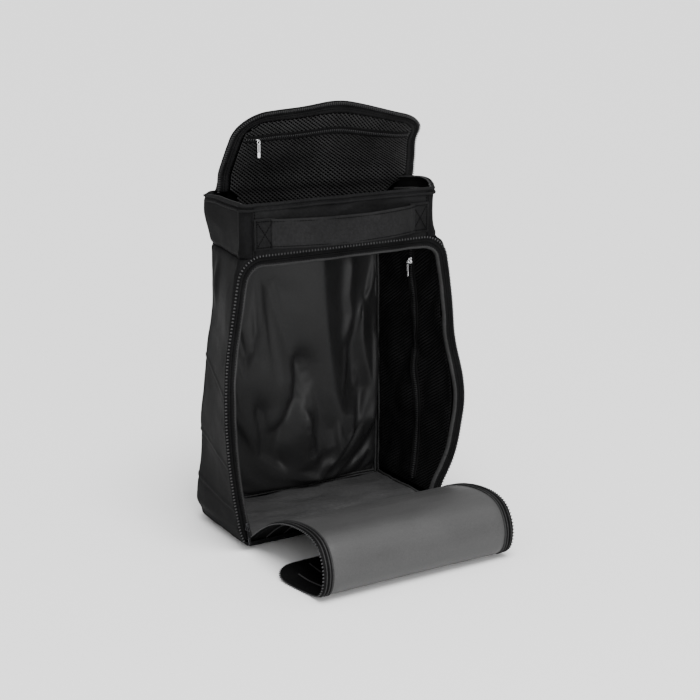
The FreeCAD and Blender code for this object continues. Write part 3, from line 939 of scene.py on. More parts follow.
def inner_wall(side, depth, y_range, z_range, rows, cols, seed, wave=1.0):
    """Grid of a side wall's inner layer."""
    z = np.linspace(*z_range, rows)[:, None] + np.zeros((1, cols))
    start = front_y(z, side) + y_range[0]
    end = back_y(side * 110.0, z) - y_range[1]
    share = np.linspace(0.0, 1.0, cols)[None, :]
    y = start + (end - start) * share
    x = side * inner_x(y, z, side, depth)
    grid = np.stack([x, y, z], -1)
    held = smooth(share / 0.08) * smooth((1.0 - share) / 0.08)
    moves = (cloud(grid, (40, 40, 60), seed) * 2.6
             + cloud(grid, (22, 26, 44), seed + 1, ridged=True) * 0.8) * wave
    grid[..., 0] -= side * np.abs(moves) * held
    return grid


def build_side_linings():
    for side, word in ((LEFT, "left"), (RIGHT, "right")):
        grid = inner_wall(side, LINING_DEPTH, (2.5, 6.5), (FLOOR_Z - 1.0, DIVIDER_Z - 1.0),
                          110, 70, 71, 0.5)
        # The right lining takes the near-black satin copy as painted shade; the left lining
        # keeps the plain satin.
        cloth = SATIN if side == LEFT else DARK_SHADED_LINING
        piece = oriented_sheet(word + "_lining_cloth", grid, cloth, (-side, 0, 0), 0.8)
        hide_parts(word + "_side_lining")
        straighten(piece)


POCKET_LOW, POCKET_HIGH = 20.0, 306.0
POCKET_ZIP_Y = joint("side_pocket_pull_swing")[1]


def pocket_point(y, z, lift=0.0):
    """A point on the mesh of the right wall; lift is towards the compartment."""
    y, z = np.asarray(y, float), np.asarray(z, float)
    x = inner_x(y, z, RIGHT, MESH_DEPTH)
    flat = np.stack([x, y, z], -1)
    fy, by = front_y(z, RIGHT), back_y(110.0, z)
    held = smooth((y - fy - 3) / 12.0) * smooth((by - 6 - y) / 10.0)
    held = held * smooth((z - POCKET_LOW + 6) / 22.0) * smooth((POCKET_HIGH + 4 - z) / 22.0)
    folds = (cloud(flat, (60, 34, 52), 81) * 7.0 + cloud(flat, (60, 15, 30), 82) * 2.2)
    folds = np.abs(folds) * held
    return np.stack([x - folds - lift, y, z], -1)


NET_SLOPE = 0.72
NET_PITCH = 3.7
NET_STRAND = 1.35
NET_STEP = 2.2


def net(name, low, high, point, material, inside):
    """A diagonal net over a rectangle of (u, v): bold strands one way, fine the other."""
    points, faces, start = [], [], 0
    (u0, v0), (u1, v1) = low, high
    for family, lift, share in ((NET_SLOPE, 0.0, 0.45), (-NET_SLOPE, 0.45, 1.1)):
        first = v0 - (u1 - u0) if family > 0 else v0
        last = v1 if family > 0 else v1 + (u1 - u0)
        for offset in np.arange(first, last, NET_PITCH):
            u = np.minimum(np.arange(u0, u1 + NET_STEP, NET_STEP), u1)
            v = offset + family * (u - u0)
            keep = (v >= v0) & (v <= v1) & inside(u, v)
            u, v = u[keep], v[keep]
            if len(u) < 2:
                continue
            across = share * NET_STRAND / 2.0
            size = math.hypot(1.0, family)
            sides = [point(u + shift * across * family / size, v - shift * across / size,
                           lift) for shift in (-1.0, 1.0)]
            grid = np.stack(sides, 1)
            points.append(grid.reshape(-1, 3))
            faces += quads(len(u), 2, start=start, flip=family < 0)
            start += len(u) * 2
    piece = make_mesh(name, np.concatenate(points), faces, material)
    return thicken(piece, 0.3, 0.0)


def build_side_pocket():
    low = (FRONT_Y - 4.0, POCKET_LOW)
    high = (BACK_Y - 9.0, POCKET_HIGH)

    def inside(y, z):
        return (y > front_y(z, RIGHT) + 4.0) & (y < back_y(110.0, z) - 8.0)

    # The side pocket's net takes the darker net copy, which holds painted shade.
    piece = net("side_pocket_net", low, high, pocket_point, SHADED_SIDE_NET, inside)
    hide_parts("side_pocket_mesh")
    straighten(piece)
    z = np.linspace(POCKET_HIGH - 8, POCKET_LOW + 8, 220)
    wander = ease(z, [20, 90, 150, 215, 270, 300], [-7, 2, 4.5, -2, 0, 0])
    y = POCKET_ZIP_Y + wander
    path = pocket_point(y, z, 1.3)
    ahead = pocket_point(y - 4.0, z, 1.3)
    across = unit(ahead - path)
    face = unit(np.cross(tangents(path), across))
    face[face[:, 0] > 0] *= -1.0
    grid = swept(path, across, face, ribbon(-5.0, 5.0, -0.4, 0.4, grooves=(-2.6, 2.6)))
    piece = tubes("side_pocket_zip_tape", [grid], TAPE)
    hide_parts("side_pocket_zip")
    straighten(piece)
    places = bead_places(path + face * 0.6, across, face, FINE_PITCH)
    piece = beads("side_pocket_teeth", places, bead_shape(3.4, 1.3, 1.2), FINE_TEETH)
    straighten(piece)


def back_lining_grid(rows=110, cols=90):
    """Flat grid of the satin back lining, before its folds are added."""
    z = np.linspace(FLOOR_Z, DIVIDER_Z - 0.5, rows)[:, None] + np.zeros((1, cols))
    grid = np.zeros((rows, cols, 3))
    for i in range(rows):
        ends = []
        for side in (LEFT, RIGHT):
            y = float(back_y(side * 110.0, z[i, 0])) - BACK_LINING_INSET
            ends.append(side * (float(inner_x(y, z[i, 0], side, LINING_DEPTH)) - 0.3))
        x = np.linspace(ends[0], ends[1], cols)
        grid[i] = np.stack([x, back_y(x, z[i, 0]) - BACK_LINING_INSET, z[i]], -1)
    return grid


def simulate_cloth(name, grid, grow, frames, mass=0.25, stiff=12.0):
    """Cloth pinned round its edge, cut larger than its frame so that it folds."""
    rows, cols = grid.shape[:2]
    piece = make_mesh(name, grid, quads(rows, cols), SATIN)
    pins = piece.vertex_groups.new(name="pins")
    index = np.arange(rows * cols).reshape(rows, cols)
    border = np.concatenate([index[0], index[-1], index[:, 0], index[:, -1]])
    pins.add([int(i) for i in set(border.tolist())], 1.0, "REPLACE")
    cloth = piece.modifiers.new("Cloth", "CLOTH")
    setting = cloth.settings
    setting.vertex_group_mass = "pins"
    setting.shrink_min = -grow
    setting.quality = 6
    setting.mass = mass
    setting.tension_stiffness = setting.compression_stiffness = stiff
    setting.shear_stiffness = stiff * 0.5
    setting.bending_stiffness = 0.6
    setting.air_damping = 2.0
    cloth.collision_settings.use_collision = False
    scene = bpy.context.scene
    scene.gravity = (0.0, 0.0, -2.5)
    scene.frame_start, scene.frame_end = 1, frames
    cloth.point_cache.frame_start, cloth.point_cache.frame_end = 1, frames
    for number in range(1, frames + 1):
        scene.frame_set(number)
    solved = piece.evaluated_get(bpy.context.evaluated_depsgraph_get()).to_mesh()
    points = np.zeros(rows * cols * 3)
    solved.vertices.foreach_get("co", points)
    bpy.data.objects.remove(piece)
    scene.frame_set(1)
    return points.reshape(rows, cols, 3) / MM


# Folds of the hanging satin: how far each stands out, its width on its left and on its
# right, and the line (x, z) that its crest follows.
LINING_FOLDS = [
    (17.0, 46.0, 22.0, [(26, 316), (31, 229), (37, 180), (44, 131), (52, 105), (63, 82)]),
    (11.0, 8.0, 15.0, [(86, 216), (85, 185), (90, 157), (98, 128), (99, 88)]),
    (6.0, 7.0, 10.0, [(70, 270), (66, 240), (69, 218), (65, 203)]),
    (4.0, 6.0, 6.0, [(110, 300), (106, 240), (109, 190), (107, 140)]),
    (-10.0, 7.0, 14.0, [(2, 168), (-1, 132), (-14, 106), (-33, 82)]),
    (-7.0, 6.0, 10.0, [(-46, 116), (-40, 78), (-26, 60)]),
    (10.0, 28.0, 6.0, [(6, 104), (15, 70), (26, 24)]),
    (9.0, 9.0, 5.0, [(67, 90), (56, 66), (43, 46)]),
    (6.0, 12.0, 8.0, [(60, 60), (52, 40), (45, 18)]),
    (5.0, 8.0, 8.0, [(84, 38), (98, 45), (114, 30)]),
    (-4.0, 10.0, 22.0, [(-34, 256), (-42, 217), (-54, 186)]),
    (5.0, 24.0, 18.0, [(-78, 316), (-84, 220), (-74, 150), (-82, 70)]),
]


def fold_height(x, z, rise, left, right, line):
    """Height of one fold: a crest that falls away at its own rate on each side."""
    crest = resample(line, step=3.0)
    along = tangents(crest)
    along = -along if along[:, 1].sum() > 0 else along
    gap = np.stack([x, z], -1)[..., None, :] - crest
    nearest = np.argmin((gap ** 2).sum(-1), axis=-1)
    offset = np.take_along_axis(gap, nearest[..., None, None], axis=-2)[..., 0, :]
    ahead = along[nearest]
    side = offset[..., 1] * ahead[..., 0] - offset[..., 0] * ahead[..., 1]
    beyond = (offset * ahead).sum(-1)
    width = np.where(side < 0.0, left, right)
    end = np.exp(-(beyond / 16.0) ** 2)
    return rise * np.exp(-np.abs(side / width) ** 1.6) * end


def lining_folds(grid):
    x, z = grid[..., 0], grid[..., 2]
    total = 3.5 + 1.6 * cloud(grid * [1, 0, 1], (50, 20, 90), 91)
    for rise, left, right, line in LINING_FOLDS:
        total = total + fold_height(x, z, rise, left, right, line)
    share_x = np.linspace(0, 1, grid.shape[1])[None, :]
    share_z = np.linspace(0, 1, grid.shape[0])[:, None]
    held = smooth(share_x / 0.05) * smooth((1 - share_x) / 0.05)
    held = held * smooth(share_z / 0.05) * smooth((1 - share_z) / 0.05)
    return np.clip(total, 0.0, 21.0) * held


def build_back_lining():
    grid = back_lining_grid()
    shape = grid.copy()
    shape[..., 1] -= lining_folds(grid)
    start = shape
    shape = simulate_cloth("back_lining_trial", start, 0.008, 14)
    shape = start + np.clip(shape - start, -4.0, 4.0)
    shape[..., 1] = np.minimum(shape[..., 1], grid[..., 1] + 1.5)
    piece = oriented_sheet("back_lining_satin", shape, SATIN, (0, -1, 0), 0.7)
    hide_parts("back_lining")
    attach(piece, "bag")


def build_floor_lining():
    rows, cols = 50, 100
    grid = np.zeros((rows, cols, 3))
    for i, share in enumerate(np.linspace(0.0, 1.0, rows)):
        y = FRONT_Y + 1.2 + (BACK_Y - BACK_LINING_INSET - FRONT_Y - 1.2) * share
        t = (BACK_Y - y) / DEPTH
        left = -(float(wall_x(t, FLOOR_Z, LEFT)) - 3.0 - 2.0 * (1 - share))
        right = float(wall_x(t, FLOOR_Z, RIGHT)) - 3.0 - 2.0 * (1 - share)
        x = np.linspace(left, right, cols)
        grid[i] = np.stack([x, np.full(cols, y), np.full(cols, FLOOR_Z)], -1)
    held = smooth(np.linspace(0, 1, rows) / 0.1)[:, None]
    grid[..., 2] += held * (cloud(grid, (46, 30, 20), 95) * 2.4
                            + cloud(grid, (28, 16, 20), 96, ridged=True) * 0.6)
    # The floor takes the lighter satin copy, which holds painted light.
    piece = oriented_sheet("floor_lining_satin", grid, LIT_FLOOR_SATIN, (0, 0, 1), 0.8)
    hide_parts("floor_lining")
    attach(piece, "bag")


def build_inner_seams():
    """Bound seams in the compartment's corners, each a pair of folded ridges."""
    grids = []
    z = np.linspace(FLOOR_Z, DIVIDER_Z - 3, 160)
    for side in (LEFT, RIGHT):
        y = back_y(side * 110.0, z) - BACK_LINING_INSET - 1.2
        for shift in (0.0, 3.6):
            x = side * (inner_x(y, z, side, MESH_DEPTH) - 0.6 - shift)
            path = np.stack([x, y - (1.2 - shift * 0.3), z], -1)
            path = path + cloud(path, (30, 30, 24), 97)[:, None] * [0.6, 0.6, 0.0]
            across = every([1.0, 0.0, 0.0], z)
            deep = every([0.0, 1.0, 0.0], z)
            grids.append(swept(path, across, deep, oval(1.3, 1.3, 8)))
    piece = tubes("upright_seam_bindings", grids, BINDING)
    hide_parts("seam_bindings")
    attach(piece, "bag")
    grids = []
    x = np.linspace(-112.0, 112.0, 150)
    for lift, gap in ((0.6, 0.8), (3.6, 0.4)):
        path = np.stack([x, back_y(x, FLOOR_Z) - BACK_LINING_INSET - gap,
                         np.full(len(x), FLOOR_Z + lift)], -1)
        path = path + cloud(path, (26, 20, 20), 98)[:, None] * [0.0, 0.3, 0.5]
        deep = every([0.0, 1.0, 0.0], x)
        high = every([0.0, 0.0, 1.0], x)
        grids.append(swept(path, deep, high, oval(0.9, 0.9, 8)))
    for side in (LEFT, RIGHT):
        y = np.linspace(BACK_Y - BACK_LINING_INSET - 2, FRONT_Y + 6, 90)
        inset = inner_x(y, FLOOR_Z + 2.0, side, MESH_DEPTH) - 1.0
        path = np.stack([side * inset, y, np.full(len(y), FLOOR_Z + 1.6)], -1)
        path = path + cloud(path, (14, 14, 14), 99)[:, None] * [1.6, 0.0, 1.2]
        across = every([1.0, 0.0, 0.0], y)
        high = every([0.0, 0.0, 1.0], y)
        grids.append(swept(path, across, high, oval(1.3, 1.5, 8)))
    piece = tubes("floor_seam_bindings", grids, BINDING)
    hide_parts("seam_bindings")
    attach(piece, "bag")


# ======================================================================================
# Carry handle
# ======================================================================================
STRAP_HEIGHT = HANDLE_HIGH - HANDLE_LOW


def strap_rise(x):
    """How far the strap arches out of the band; it stands proudest near its right end."""
    share = np.clip((x + PATCH_IN) / (2.0 * PATCH_IN), 0.0, 1.0)
    return 13.5 * np.sin(np.pi * share ** 1.15) ** 0.62


def build_handle():
    xs = np.linspace(-PATCH_IN - 3.0, PATCH_IN + 3.0, 150)
    middle = (HANDLE_LOW + HANDLE_HIGH) / 2
    y = FRONT_Y - 3.6 - strap_rise(xs)
    sag = 1.2 * np.sin(np.pi * np.clip((xs + PATCH_IN) / (2 * PATCH_IN), 0, 1))
    path = np.stack([xs, y, middle - sag], -1)
    side = every([0.0, 0.0, 1.0], xs)
    along = tangents(path)
    face = unit(np.cross(along, side))
    face[face[:, 1] > 0] *= -1.0
    half = STRAP_HEIGHT / 2.0
    turn = np.linspace(0.0, 2.0 * np.pi, 40, endpoint=False)
    a = half * np.sign(np.cos(turn)) * np.abs(np.cos(turn)) ** 0.28
    b = 1.7 * np.sign(np.sin(turn)) * np.abs(np.sin(turn)) ** 0.75
    grid = swept(path, side, face, np.stack([a, b], -1))
    moves = cloud(grid, (26, 20, 14), 101) * 0.9 + cloud(grid, (11, 11, 8), 102) * 0.25
    grid = grid + face[:, None] * moves[..., None]
    # The strap takes the lighter nylon copy, which holds painted light.
    piece = tubes("handle_strap_webbing", [grid], LIT_STRAP_NYLON)
    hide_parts("handle_strap")
    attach(piece, "bag")
    places = []
    for height in (-half + 2.6, half - 2.6):
        line = path + side * height + face * 1.75
        places += stitch_places(line, face)
    piece = beads("handle_edge_stitches", places, STITCH, THREAD)
    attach(piece, "bag")
    patches, places = [], []
    for side_sign in (LEFT, RIGHT):
        x_in, x_out = side_sign * (PATCH_IN - 2), side_sign * (FRONT_SEAM_X - 0.6)
        rows, cols = 26, 24
        x = np.linspace(x_in, x_out, cols)[None, :] + np.zeros((rows, 1))
        z = np.linspace(HANDLE_LOW - 1.0, HANDLE_HIGH + 1.0, rows)[:, None]
        z = z + np.zeros((1, cols))
        moves = cloud(np.stack([x, np.zeros_like(x), z], -1), (14, 14, 12), 103) * 0.5
        patches.append(np.stack([x, band_y(x, z) - 1.9 + moves, z], -1))
        low, high = HANDLE_LOW + 2.0, HANDLE_HIGH - 2.0
        a, b = side_sign * (PATCH_IN + 1.5), side_sign * (FRONT_SEAM_X - 3.5)
        corners = [(a, low), (b, low), (b, high), (a, high)]
        routes = [corners + corners[:1], [corners[0], corners[2]], [corners[1], corners[3]]]
        for route in routes:
            line = resample(route, step=0.8)
            path3 = np.stack([line[:, 0], band_y(line[:, 0], line[:, 1]) - 2.2, line[:, 1]], -1)
            places += stitch_places(path3, every([0.0, -1.0, 0.0], line), 2.6)
    for grid, word in zip(patches, ("left", "right")):
        # The patches take the lighter nylon copy, which holds painted light.
        piece = oriented_sheet("handle_patch_" + word, grid, LIT_BAND_NYLON, (0, -1, 0), 1.4)
        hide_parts("handle_patches")
        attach(piece, "bag")
    piece = beads("handle_patch_stitches", places, bead_shape(1.9, 0.8, 0.7), THREAD)
    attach(piece, "bag")


# ======================================================================================
# Rim of the top compartment
# ======================================================================================
LID_Y_LEFT, LID_Y_RIGHT = 33.0, 29.0


def rim_path():
    """The rim seen from above, from the left hinge end round the front to the right."""
    halves = []
    for side, hinge_y in ((LEFT, LID_Y_LEFT), (RIGHT, LID_Y_RIGHT)):
        line = np.array(plan_line(RIM_Z, side, True))
        halves.append(line[line[:, 1] < hinge_y])
    line = np.concatenate([halves[0][::-1], halves[1]])
    line = resample(line, step=1.0)
    lift = np.where(line[:, 0] < 0, rim_lift(line[:, 1], LEFT), rim_lift(line[:, 1], RIGHT))
    lift = lift * smooth((line[:, 1] + 58.0) / 20.0)
    path = np.column_stack([line, RIM_Z + lift])
    up = every([0.0, 0.0, 1.0], path)
    out = unit(np.cross(tangents(path), up))
    middle = np.array([0.0, 0.0, RIM_Z])
    if ((path - middle) * out).sum() < 0:
        out = -out
    return path, out, up


def build_rim():
    path, out, up = rim_path()
    wander = cloud(path, (34, 34, 34), 111)[:, None] * 0.7
    piping = swept(path + up * (-4.4 + wander) + out * 0.7, out, up, oval(1.7, 1.5, 10))
    roll = swept(path + up * (0.5 + wander) - out, out, up, oval(2.6, 1.9, 12))
    piece = tubes("rim_piping", [piping, roll], BORDER)
    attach(piece, "bag")
    tape = swept(path + up * wander, out, up, ribbon(-2.6, 0.3, -4.6, -1.0))
    piece = tubes("rim_tape", [tape], TAPE)
    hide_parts("rim_zip_tape")
    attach(piece, "bag")
    places = bead_places(path + up * (1.6 + wander) - out * 3.4, out, up, FINE_PITCH)
    piece = beads("rim_teeth", places, bead_shape(2.6, 1.3, 1.0), FINE_TEETH)
    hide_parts("rim_zip_chain")
    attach(piece, "bag")
    inner = swept(path + up * -12.0 - out * 4.2, out, up, oval(1.6, 1.9, 10))
    piece = tubes("rim_inner_binding", [inner], BINDING)
    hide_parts("rim_binding")
    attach(piece, "bag")
    places = stitch_places(path + up * (-6.0 + wander) + out * 0.35, out)
    piece = beads("rim_stitches", places, STITCH, THREAD)
    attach(piece, "bag")


def lid_hinge_y(x):
    """The sewn hinge line runs a little further forward at its right end."""
    share = smooth((np.asarray(x, float) + 110) / 230)
    return LID_Y_LEFT + 4.0 + (LID_Y_RIGHT - LID_Y_LEFT) * share


def build_top_rear():
    """Soft strip behind the lid, from the hinge line over the back edge."""
    rows, cols = 26, 110
    grid = np.zeros((rows, cols, 3))
    for i, share in enumerate(np.linspace(0.0, 1.0, rows)):
        left = -float(wall_x(0.2 * (1 - share), RIM_Z, LEFT)) + 0.5
        right = float(wall_x(0.2 * (1 - share), RIM_Z, RIGHT)) - 0.5
        turned = max(0.0, share - 0.55) / 0.45
        round_in = BACK_ROUND * (1.0 - math.sqrt(max(0.0, 1.0 - turned ** 2)))
        x = np.linspace(left + round_in, right - round_in, cols)
        y0 = lid_hinge_y(x)
        y = y0 + (back_y(x, RIM_Z) - y0) * share
        across = np.linspace(0.0, 1.0, cols)
        pad = 3.4 * np.sin(np.pi * np.clip(share, 0.0, 1.0)) ** 0.7 * smooth(across / 0.04)
        pad = pad * smooth((1.0 - across) / 0.04)
        drop = rim_lift(y, LEFT) * smooth(-x / 110.0)
        grid[i] = np.stack([x, y, RIM_Z + 0.6 + pad + drop], -1)
    grid[..., 2] += cloud(grid, (40, 20, 20), 121)
    piece = oriented_sheet("top_rear_cloth", grid, NYLON, (0, 0, 1), WALL_THICK)
    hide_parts("top_rear_panel")
    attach(piece, "bag")


def build_top_back():
    """Near-black sheet behind the lid's inner cloth, down inside the top compartment: painted
    shade for the dark interior there.
    """
    rows, cols = 30, 120
    share = np.linspace(0.0, 1.0, rows)[:, None] + np.zeros((1, cols))
    x = np.linspace(-92.0, 102.0, cols)[None, :] + 2.0 * (1.0 - share)
    y = back_y(x, RIM_Z) - 6.0 - 3.0 * (1.0 - share)
    grid = np.stack([x, y, RIM_Z + 1.0 - 50.0 * share], -1)
    grid[..., 1] += cloud(grid, (40, 30, 20), 125) * 1.4
    piece = oriented_sheet("top_back_painted_shade_sheet", grid, DARK_SHADED_LINING, (0, -1, 0), 0.8)
    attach(piece, "bag")


# ======================================================================================
# Lid
# ======================================================================================
LID_LENGTH = 97.0
LID_HALF = 114.0
LID_RADIUS = 33.0
LID_LEAN = math.radians(30.0)
LID_BAND = 12.5
TONGUE_LOW = -34.0


def lid_point(x, v, h=0.0):
    """A point of the open lid: x across, v up from its hinge, h out of its inner face."""
    x, v, h = np.broadcast_arrays(*(np.asarray(a, float) for a in (x, v, h)))
    share = (x + LID_HALF) / (2.0 * LID_HALF)
    up = np.clip(v / LID_LENGTH, 0.0, 1.0)
    right = smooth((share - 0.35) / 0.6)
    low_right = right * (1.0 - smooth((up - 0.1) / 0.6))
    across = x + 11.5 + 8.0 * up + 8.0 * low_right
    lean = np.radians(27.5 + 6.0 * right + 7.0 * (up - 0.6))
    reach = v * (1.0 + 0.03 * np.sin(np.pi * share) - 0.085 * smooth((share - 0.55) / 0.4))
    slope = np.radians(28.0 + 5.0 * right) + 0.06 * (up - 1.0)
    y = LID_HINGE[1] - 2.0 - 3.0 * share - 12.0 * low_right - reach * np.sin(slope)
    z = RIM_Z + 4.0 + reach * np.cos(slope)
    wave = (2.6 * np.sin(share * 6.9 + 0.9) * up ** 1.5
            + 1.3 * np.sin(share * 13.0 + 2.0) * up ** 2)
    tuck = 7.0 * (1.0 - smooth(v / 22.0)) + 6.0 * smooth(-v / 14.0)
    belly = 3.0 * np.sin(np.pi * share) * np.sin(np.pi * up)
    crest = (4.4 * np.exp(-((share - 0.5) / 0.13) ** 2) - 2.8) * up ** 3
    normal = np.stack([np.zeros_like(lean), -np.cos(lean), -np.sin(lean)], -1)
    place = np.stack([across, y, z + crest], -1)
    return place + normal * (h + belly * 0.6 + wave + tuck)[..., None]


def lid_contour(inset=0.0, step=1.0):
    """Outline (x, v) up the left edge, round the top and down the right edge."""
    radius = max(3.0, LID_RADIUS - inset)
    half, top = LID_HALF - inset, LID_LENGTH - inset
    right = [(half, 1.5), (half, top - radius)]
    for turn in np.linspace(0.0, np.pi / 2, 16)[1:]:
        right.append((half - radius + radius * math.cos(turn),
                      top - radius + radius * math.sin(turn)))
    left = [(-x, v) for x, v in right]
    line = resample(left + right[::-1], step=step)
    along = tangents(line)
    inward = np.stack([along[:, 1], -along[:, 0]], -1)
    middle = np.array([0.0, LID_LENGTH / 2])
    if ((middle - line) * inward).sum() < 0:
        inward = -inward
    return line, inward


def lid_strip(profile, step=1.0):
    """A profile of (inset, height) carried round the lid's outline."""
    line, inward = lid_contour(0.0, step)
    columns = []
    for inset, height in profile:
        at = line + inward * inset
        columns.append(lid_point(at[:, 0], at[:, 1], height))
    return np.stack(columns, 1)


def tongue_narrowing(v, side):
    """The lid's inner cloth is narrower where it hangs down inside the bag."""
    if side == LEFT:
        return 10.0 * smooth((5.0 - v) / 9.0)
    return 24.0 * smooth((12.0 - v) / 26.0)


def lid_sheet(height, inset, rows=70, cols=150, low=0.5):
    """Grid of the whole lid inside an inset, its columns squeezed in at the corners."""
    radius = max(3.0, LID_RADIUS - inset)
    half, top = LID_HALF - inset, LID_LENGTH - inset
    v = np.linspace(low, top, rows)
    over = np.clip(v - (top - radius), 0.0, radius)
    width = half - radius + np.sqrt(np.maximum(radius ** 2 - over ** 2, 0.0))
    width[-1] = max(width[-1], half - radius)
    left, right = width, width
    if low < 0.0:
        left = width - tongue_narrowing(v, LEFT)
        right = width - tongue_narrowing(v, RIGHT)
    across = np.linspace(0.0, 1.0, cols)[None, :]
    x = -left[:, None] + across * (left + right)[:, None]
    return lid_point(x, v[:, None] + np.zeros((1, cols)), height)


def lid_frame(step, inset, height):
    """Path on the lid with its inward and out-of-face directions."""
    line, inward = lid_contour(0.0, step)
    at = line + inward * inset
    path = lid_point(at[:, 0], at[:, 1], height)
    inner = at + inward
    side = unit(lid_point(inner[:, 0], inner[:, 1], height) - path)
    face = unit(lid_point(at[:, 0], at[:, 1], height + 1.0) - path)
    return path, side, face


def bend_at_lid_hinge(piece):
    """Bake the piece's placement into its mesh."""
    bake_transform(piece)


def build_lid():
    grid = lid_sheet(-2.6, 0.6)
    wrinkle = cloud(grid, (45, 45, 30), 131) * 1.4
    grid = grid + np.array([0.0, 0.8, 0.5]) * wrinkle[..., None]
    piece = oriented_sheet("lid_outer_cloth", grid, NYLON, (0, 0.8, 0.6), 1.6)
    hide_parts("lid_panel")
    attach(piece, "lid")
    backing = lid_sheet(0.2, 1.2, rows=90, low=TONGUE_LOW)
    # The lid's inner cloth uses the near-black lining: its own dark colour with painted shade.
    piece = oriented_sheet("lid_inner_cloth", backing, DARK_SHADED_LINING, (0, -0.8, -0.6), 0.8)
    bend_at_lid_hinge(piece)
    edge = lid_strip(oval(1.3, 1.9, 10, (0.9, -1.2)))
    tape = lid_strip(ribbon(0.2, 5.2, 0.4, 1.5, grooves=(3.9,)))
    piece = tubes("lid_tape", [edge, tape], BORDER)
    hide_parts("lid_zip_tape")
    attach(piece, "lid")
    path, side, face = lid_frame(0.8, 0.6, 1.7)
    piece = beads("lid_teeth", bead_places(path, side, face, FINE_PITCH),
                  bead_shape(2.8, 1.3, 1.4), FINE_TEETH)
    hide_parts("lid_zip_chain")
    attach(piece, "lid")
    band = lid_strip([(5.0, 0.9), (5.6, 2.1), (7.5, 2.6), (9.4, 2.5), (LID_BAND - 0.8, 1.9),
                      (LID_BAND, 0.9), (9.0, 0.4), (6.5, 0.4)])
    piece = tubes("lid_border", [band], BORDER)
    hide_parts("lid_binding")
    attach(piece, "lid")
    places = []
    for inset, height in ((3.9, 1.5), (6.6, 2.55), (LID_BAND - 1.6, 2.3)):
        path, side, face = lid_frame(0.8, inset, height)
        places += stitch_places(path, face)
    piece = beads("lid_stitches", places, STITCH, THREAD)
    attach(piece, "lid")
    build_lid_pocket()


POCKET_ZIP_V = 66.0


def mesh_lift(x, v):
    """The lid's mesh stands out of its backing in soft folds."""
    flat = np.stack([x, v, np.zeros_like(x)], -1)
    held = smooth((LID_HALF - 6 - np.abs(x)) / 16) * smooth((v - TONGUE_LOW) / 14)
    held = held * smooth((LID_LENGTH - 8 - v) / 12)
    return 2.2 + held * (1.4 + cloud(flat, (34, 26, 20), 141) * 2.4)


def build_lid_pocket():
    margin = LID_BAND - 1.5

    def point(x, v, lift):
        return lid_point(x, v, mesh_lift(x, v) + lift * 0.8)

    def inside(x, v):
        radius = LID_RADIUS - margin
        half, top = LID_HALF - margin, LID_LENGTH - margin
        dx, dv = np.abs(x) - (half - radius), v - (top - radius)
        corner = (dx > 0) & (dv > 0) & (dx ** 2 + dv ** 2 > radius ** 2)
        left_edge = x > -half + tongue_narrowing(v, LEFT)
        right_edge = x < half - tongue_narrowing(v, RIGHT)
        return left_edge & right_edge & (v < top) & ~corner

    low = (-LID_HALF + margin, TONGUE_LOW)
    high = (LID_HALF - margin, LID_LENGTH - margin)
    piece = net("lid_net", low, high, point, NET, inside)
    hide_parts("lid_mesh")
    bend_at_lid_hinge(piece)
    x = np.linspace(-98.0, 98.0, 200)
    v = np.full(len(x), POCKET_ZIP_V) + np.sin(x / 40.0)
    lift = mesh_lift(x, v) + 1.0
    path = lid_point(x, v, lift)
    side = unit(lid_point(x, v + 1.0, lift) - path)
    face = unit(lid_point(x, v, lift + 1.0) - path)
    profile = ribbon(-4.6, 4.6, -0.4, 0.4, grooves=(-2.4, 2.4))
    piece = tubes("lid_pocket_zip_tape", [swept(path, side, face, profile)], TAPE)
    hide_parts("lid_pocket_zip")
    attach(piece, "lid")
    places = bead_places(path + face * 0.6, side, face, FINE_PITCH)
    piece = beads("lid_pocket_teeth", places, bead_shape(3.2, 1.3, 1.1), FINE_TEETH)
    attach(piece, "lid")


def build_lid_hinge():
    """Cloth fold that joins the rear strip to the lid."""
    cols = 120
    share = np.linspace(0.0, 1.0, cols)
    x = -LID_HALF + 2.0 * LID_HALF * share
    low = lid_point(x, np.full(cols, 0.0), -2.0)
    high = lid_point(x, np.full(cols, 9.0), -3.2)
    start = low.copy()
    start[:, 1] = LID_HINGE[1] + 3.0
    start[:, 2] = RIM_Z + 2.0
    t = (BACK_Y - start[:, 1]) / DEPTH
    start[:, 0] = np.clip(start[:, 0], 4.0 - wall_x(t, RIM_Z, LEFT),
                          wall_x(t, RIM_Z, RIGHT) - 4.0)
    bend = low.copy()
    bend[:, 1] += 2.0
    bend[:, 2] -= 2.0
    rows = []
    for s in np.linspace(0.0, 1.0, 12):
        rows.append((1 - s) ** 2 * start + 2 * s * (1 - s) * bend + s ** 2 * high)
    grid = np.array(rows)
    piece = oriented_sheet("lid_hinge_fold", grid, NYLON, (0, 0.5, 0.8), 1.4)
    bend_at_lid_hinge(piece)


# ======================================================================================
# Rolled door
# ======================================================================================
DOOR_JOINTS = ["door_swing", "door_fold_1", "door_fold_2", "door_fold_3", "door_fold_4",
               "door_curl", "door_fold_6"]
DOOR_RADIUS = 30.0
DOOR_TAPE = 11.0
DOOR_SEAMS = (74.0, 96.0)


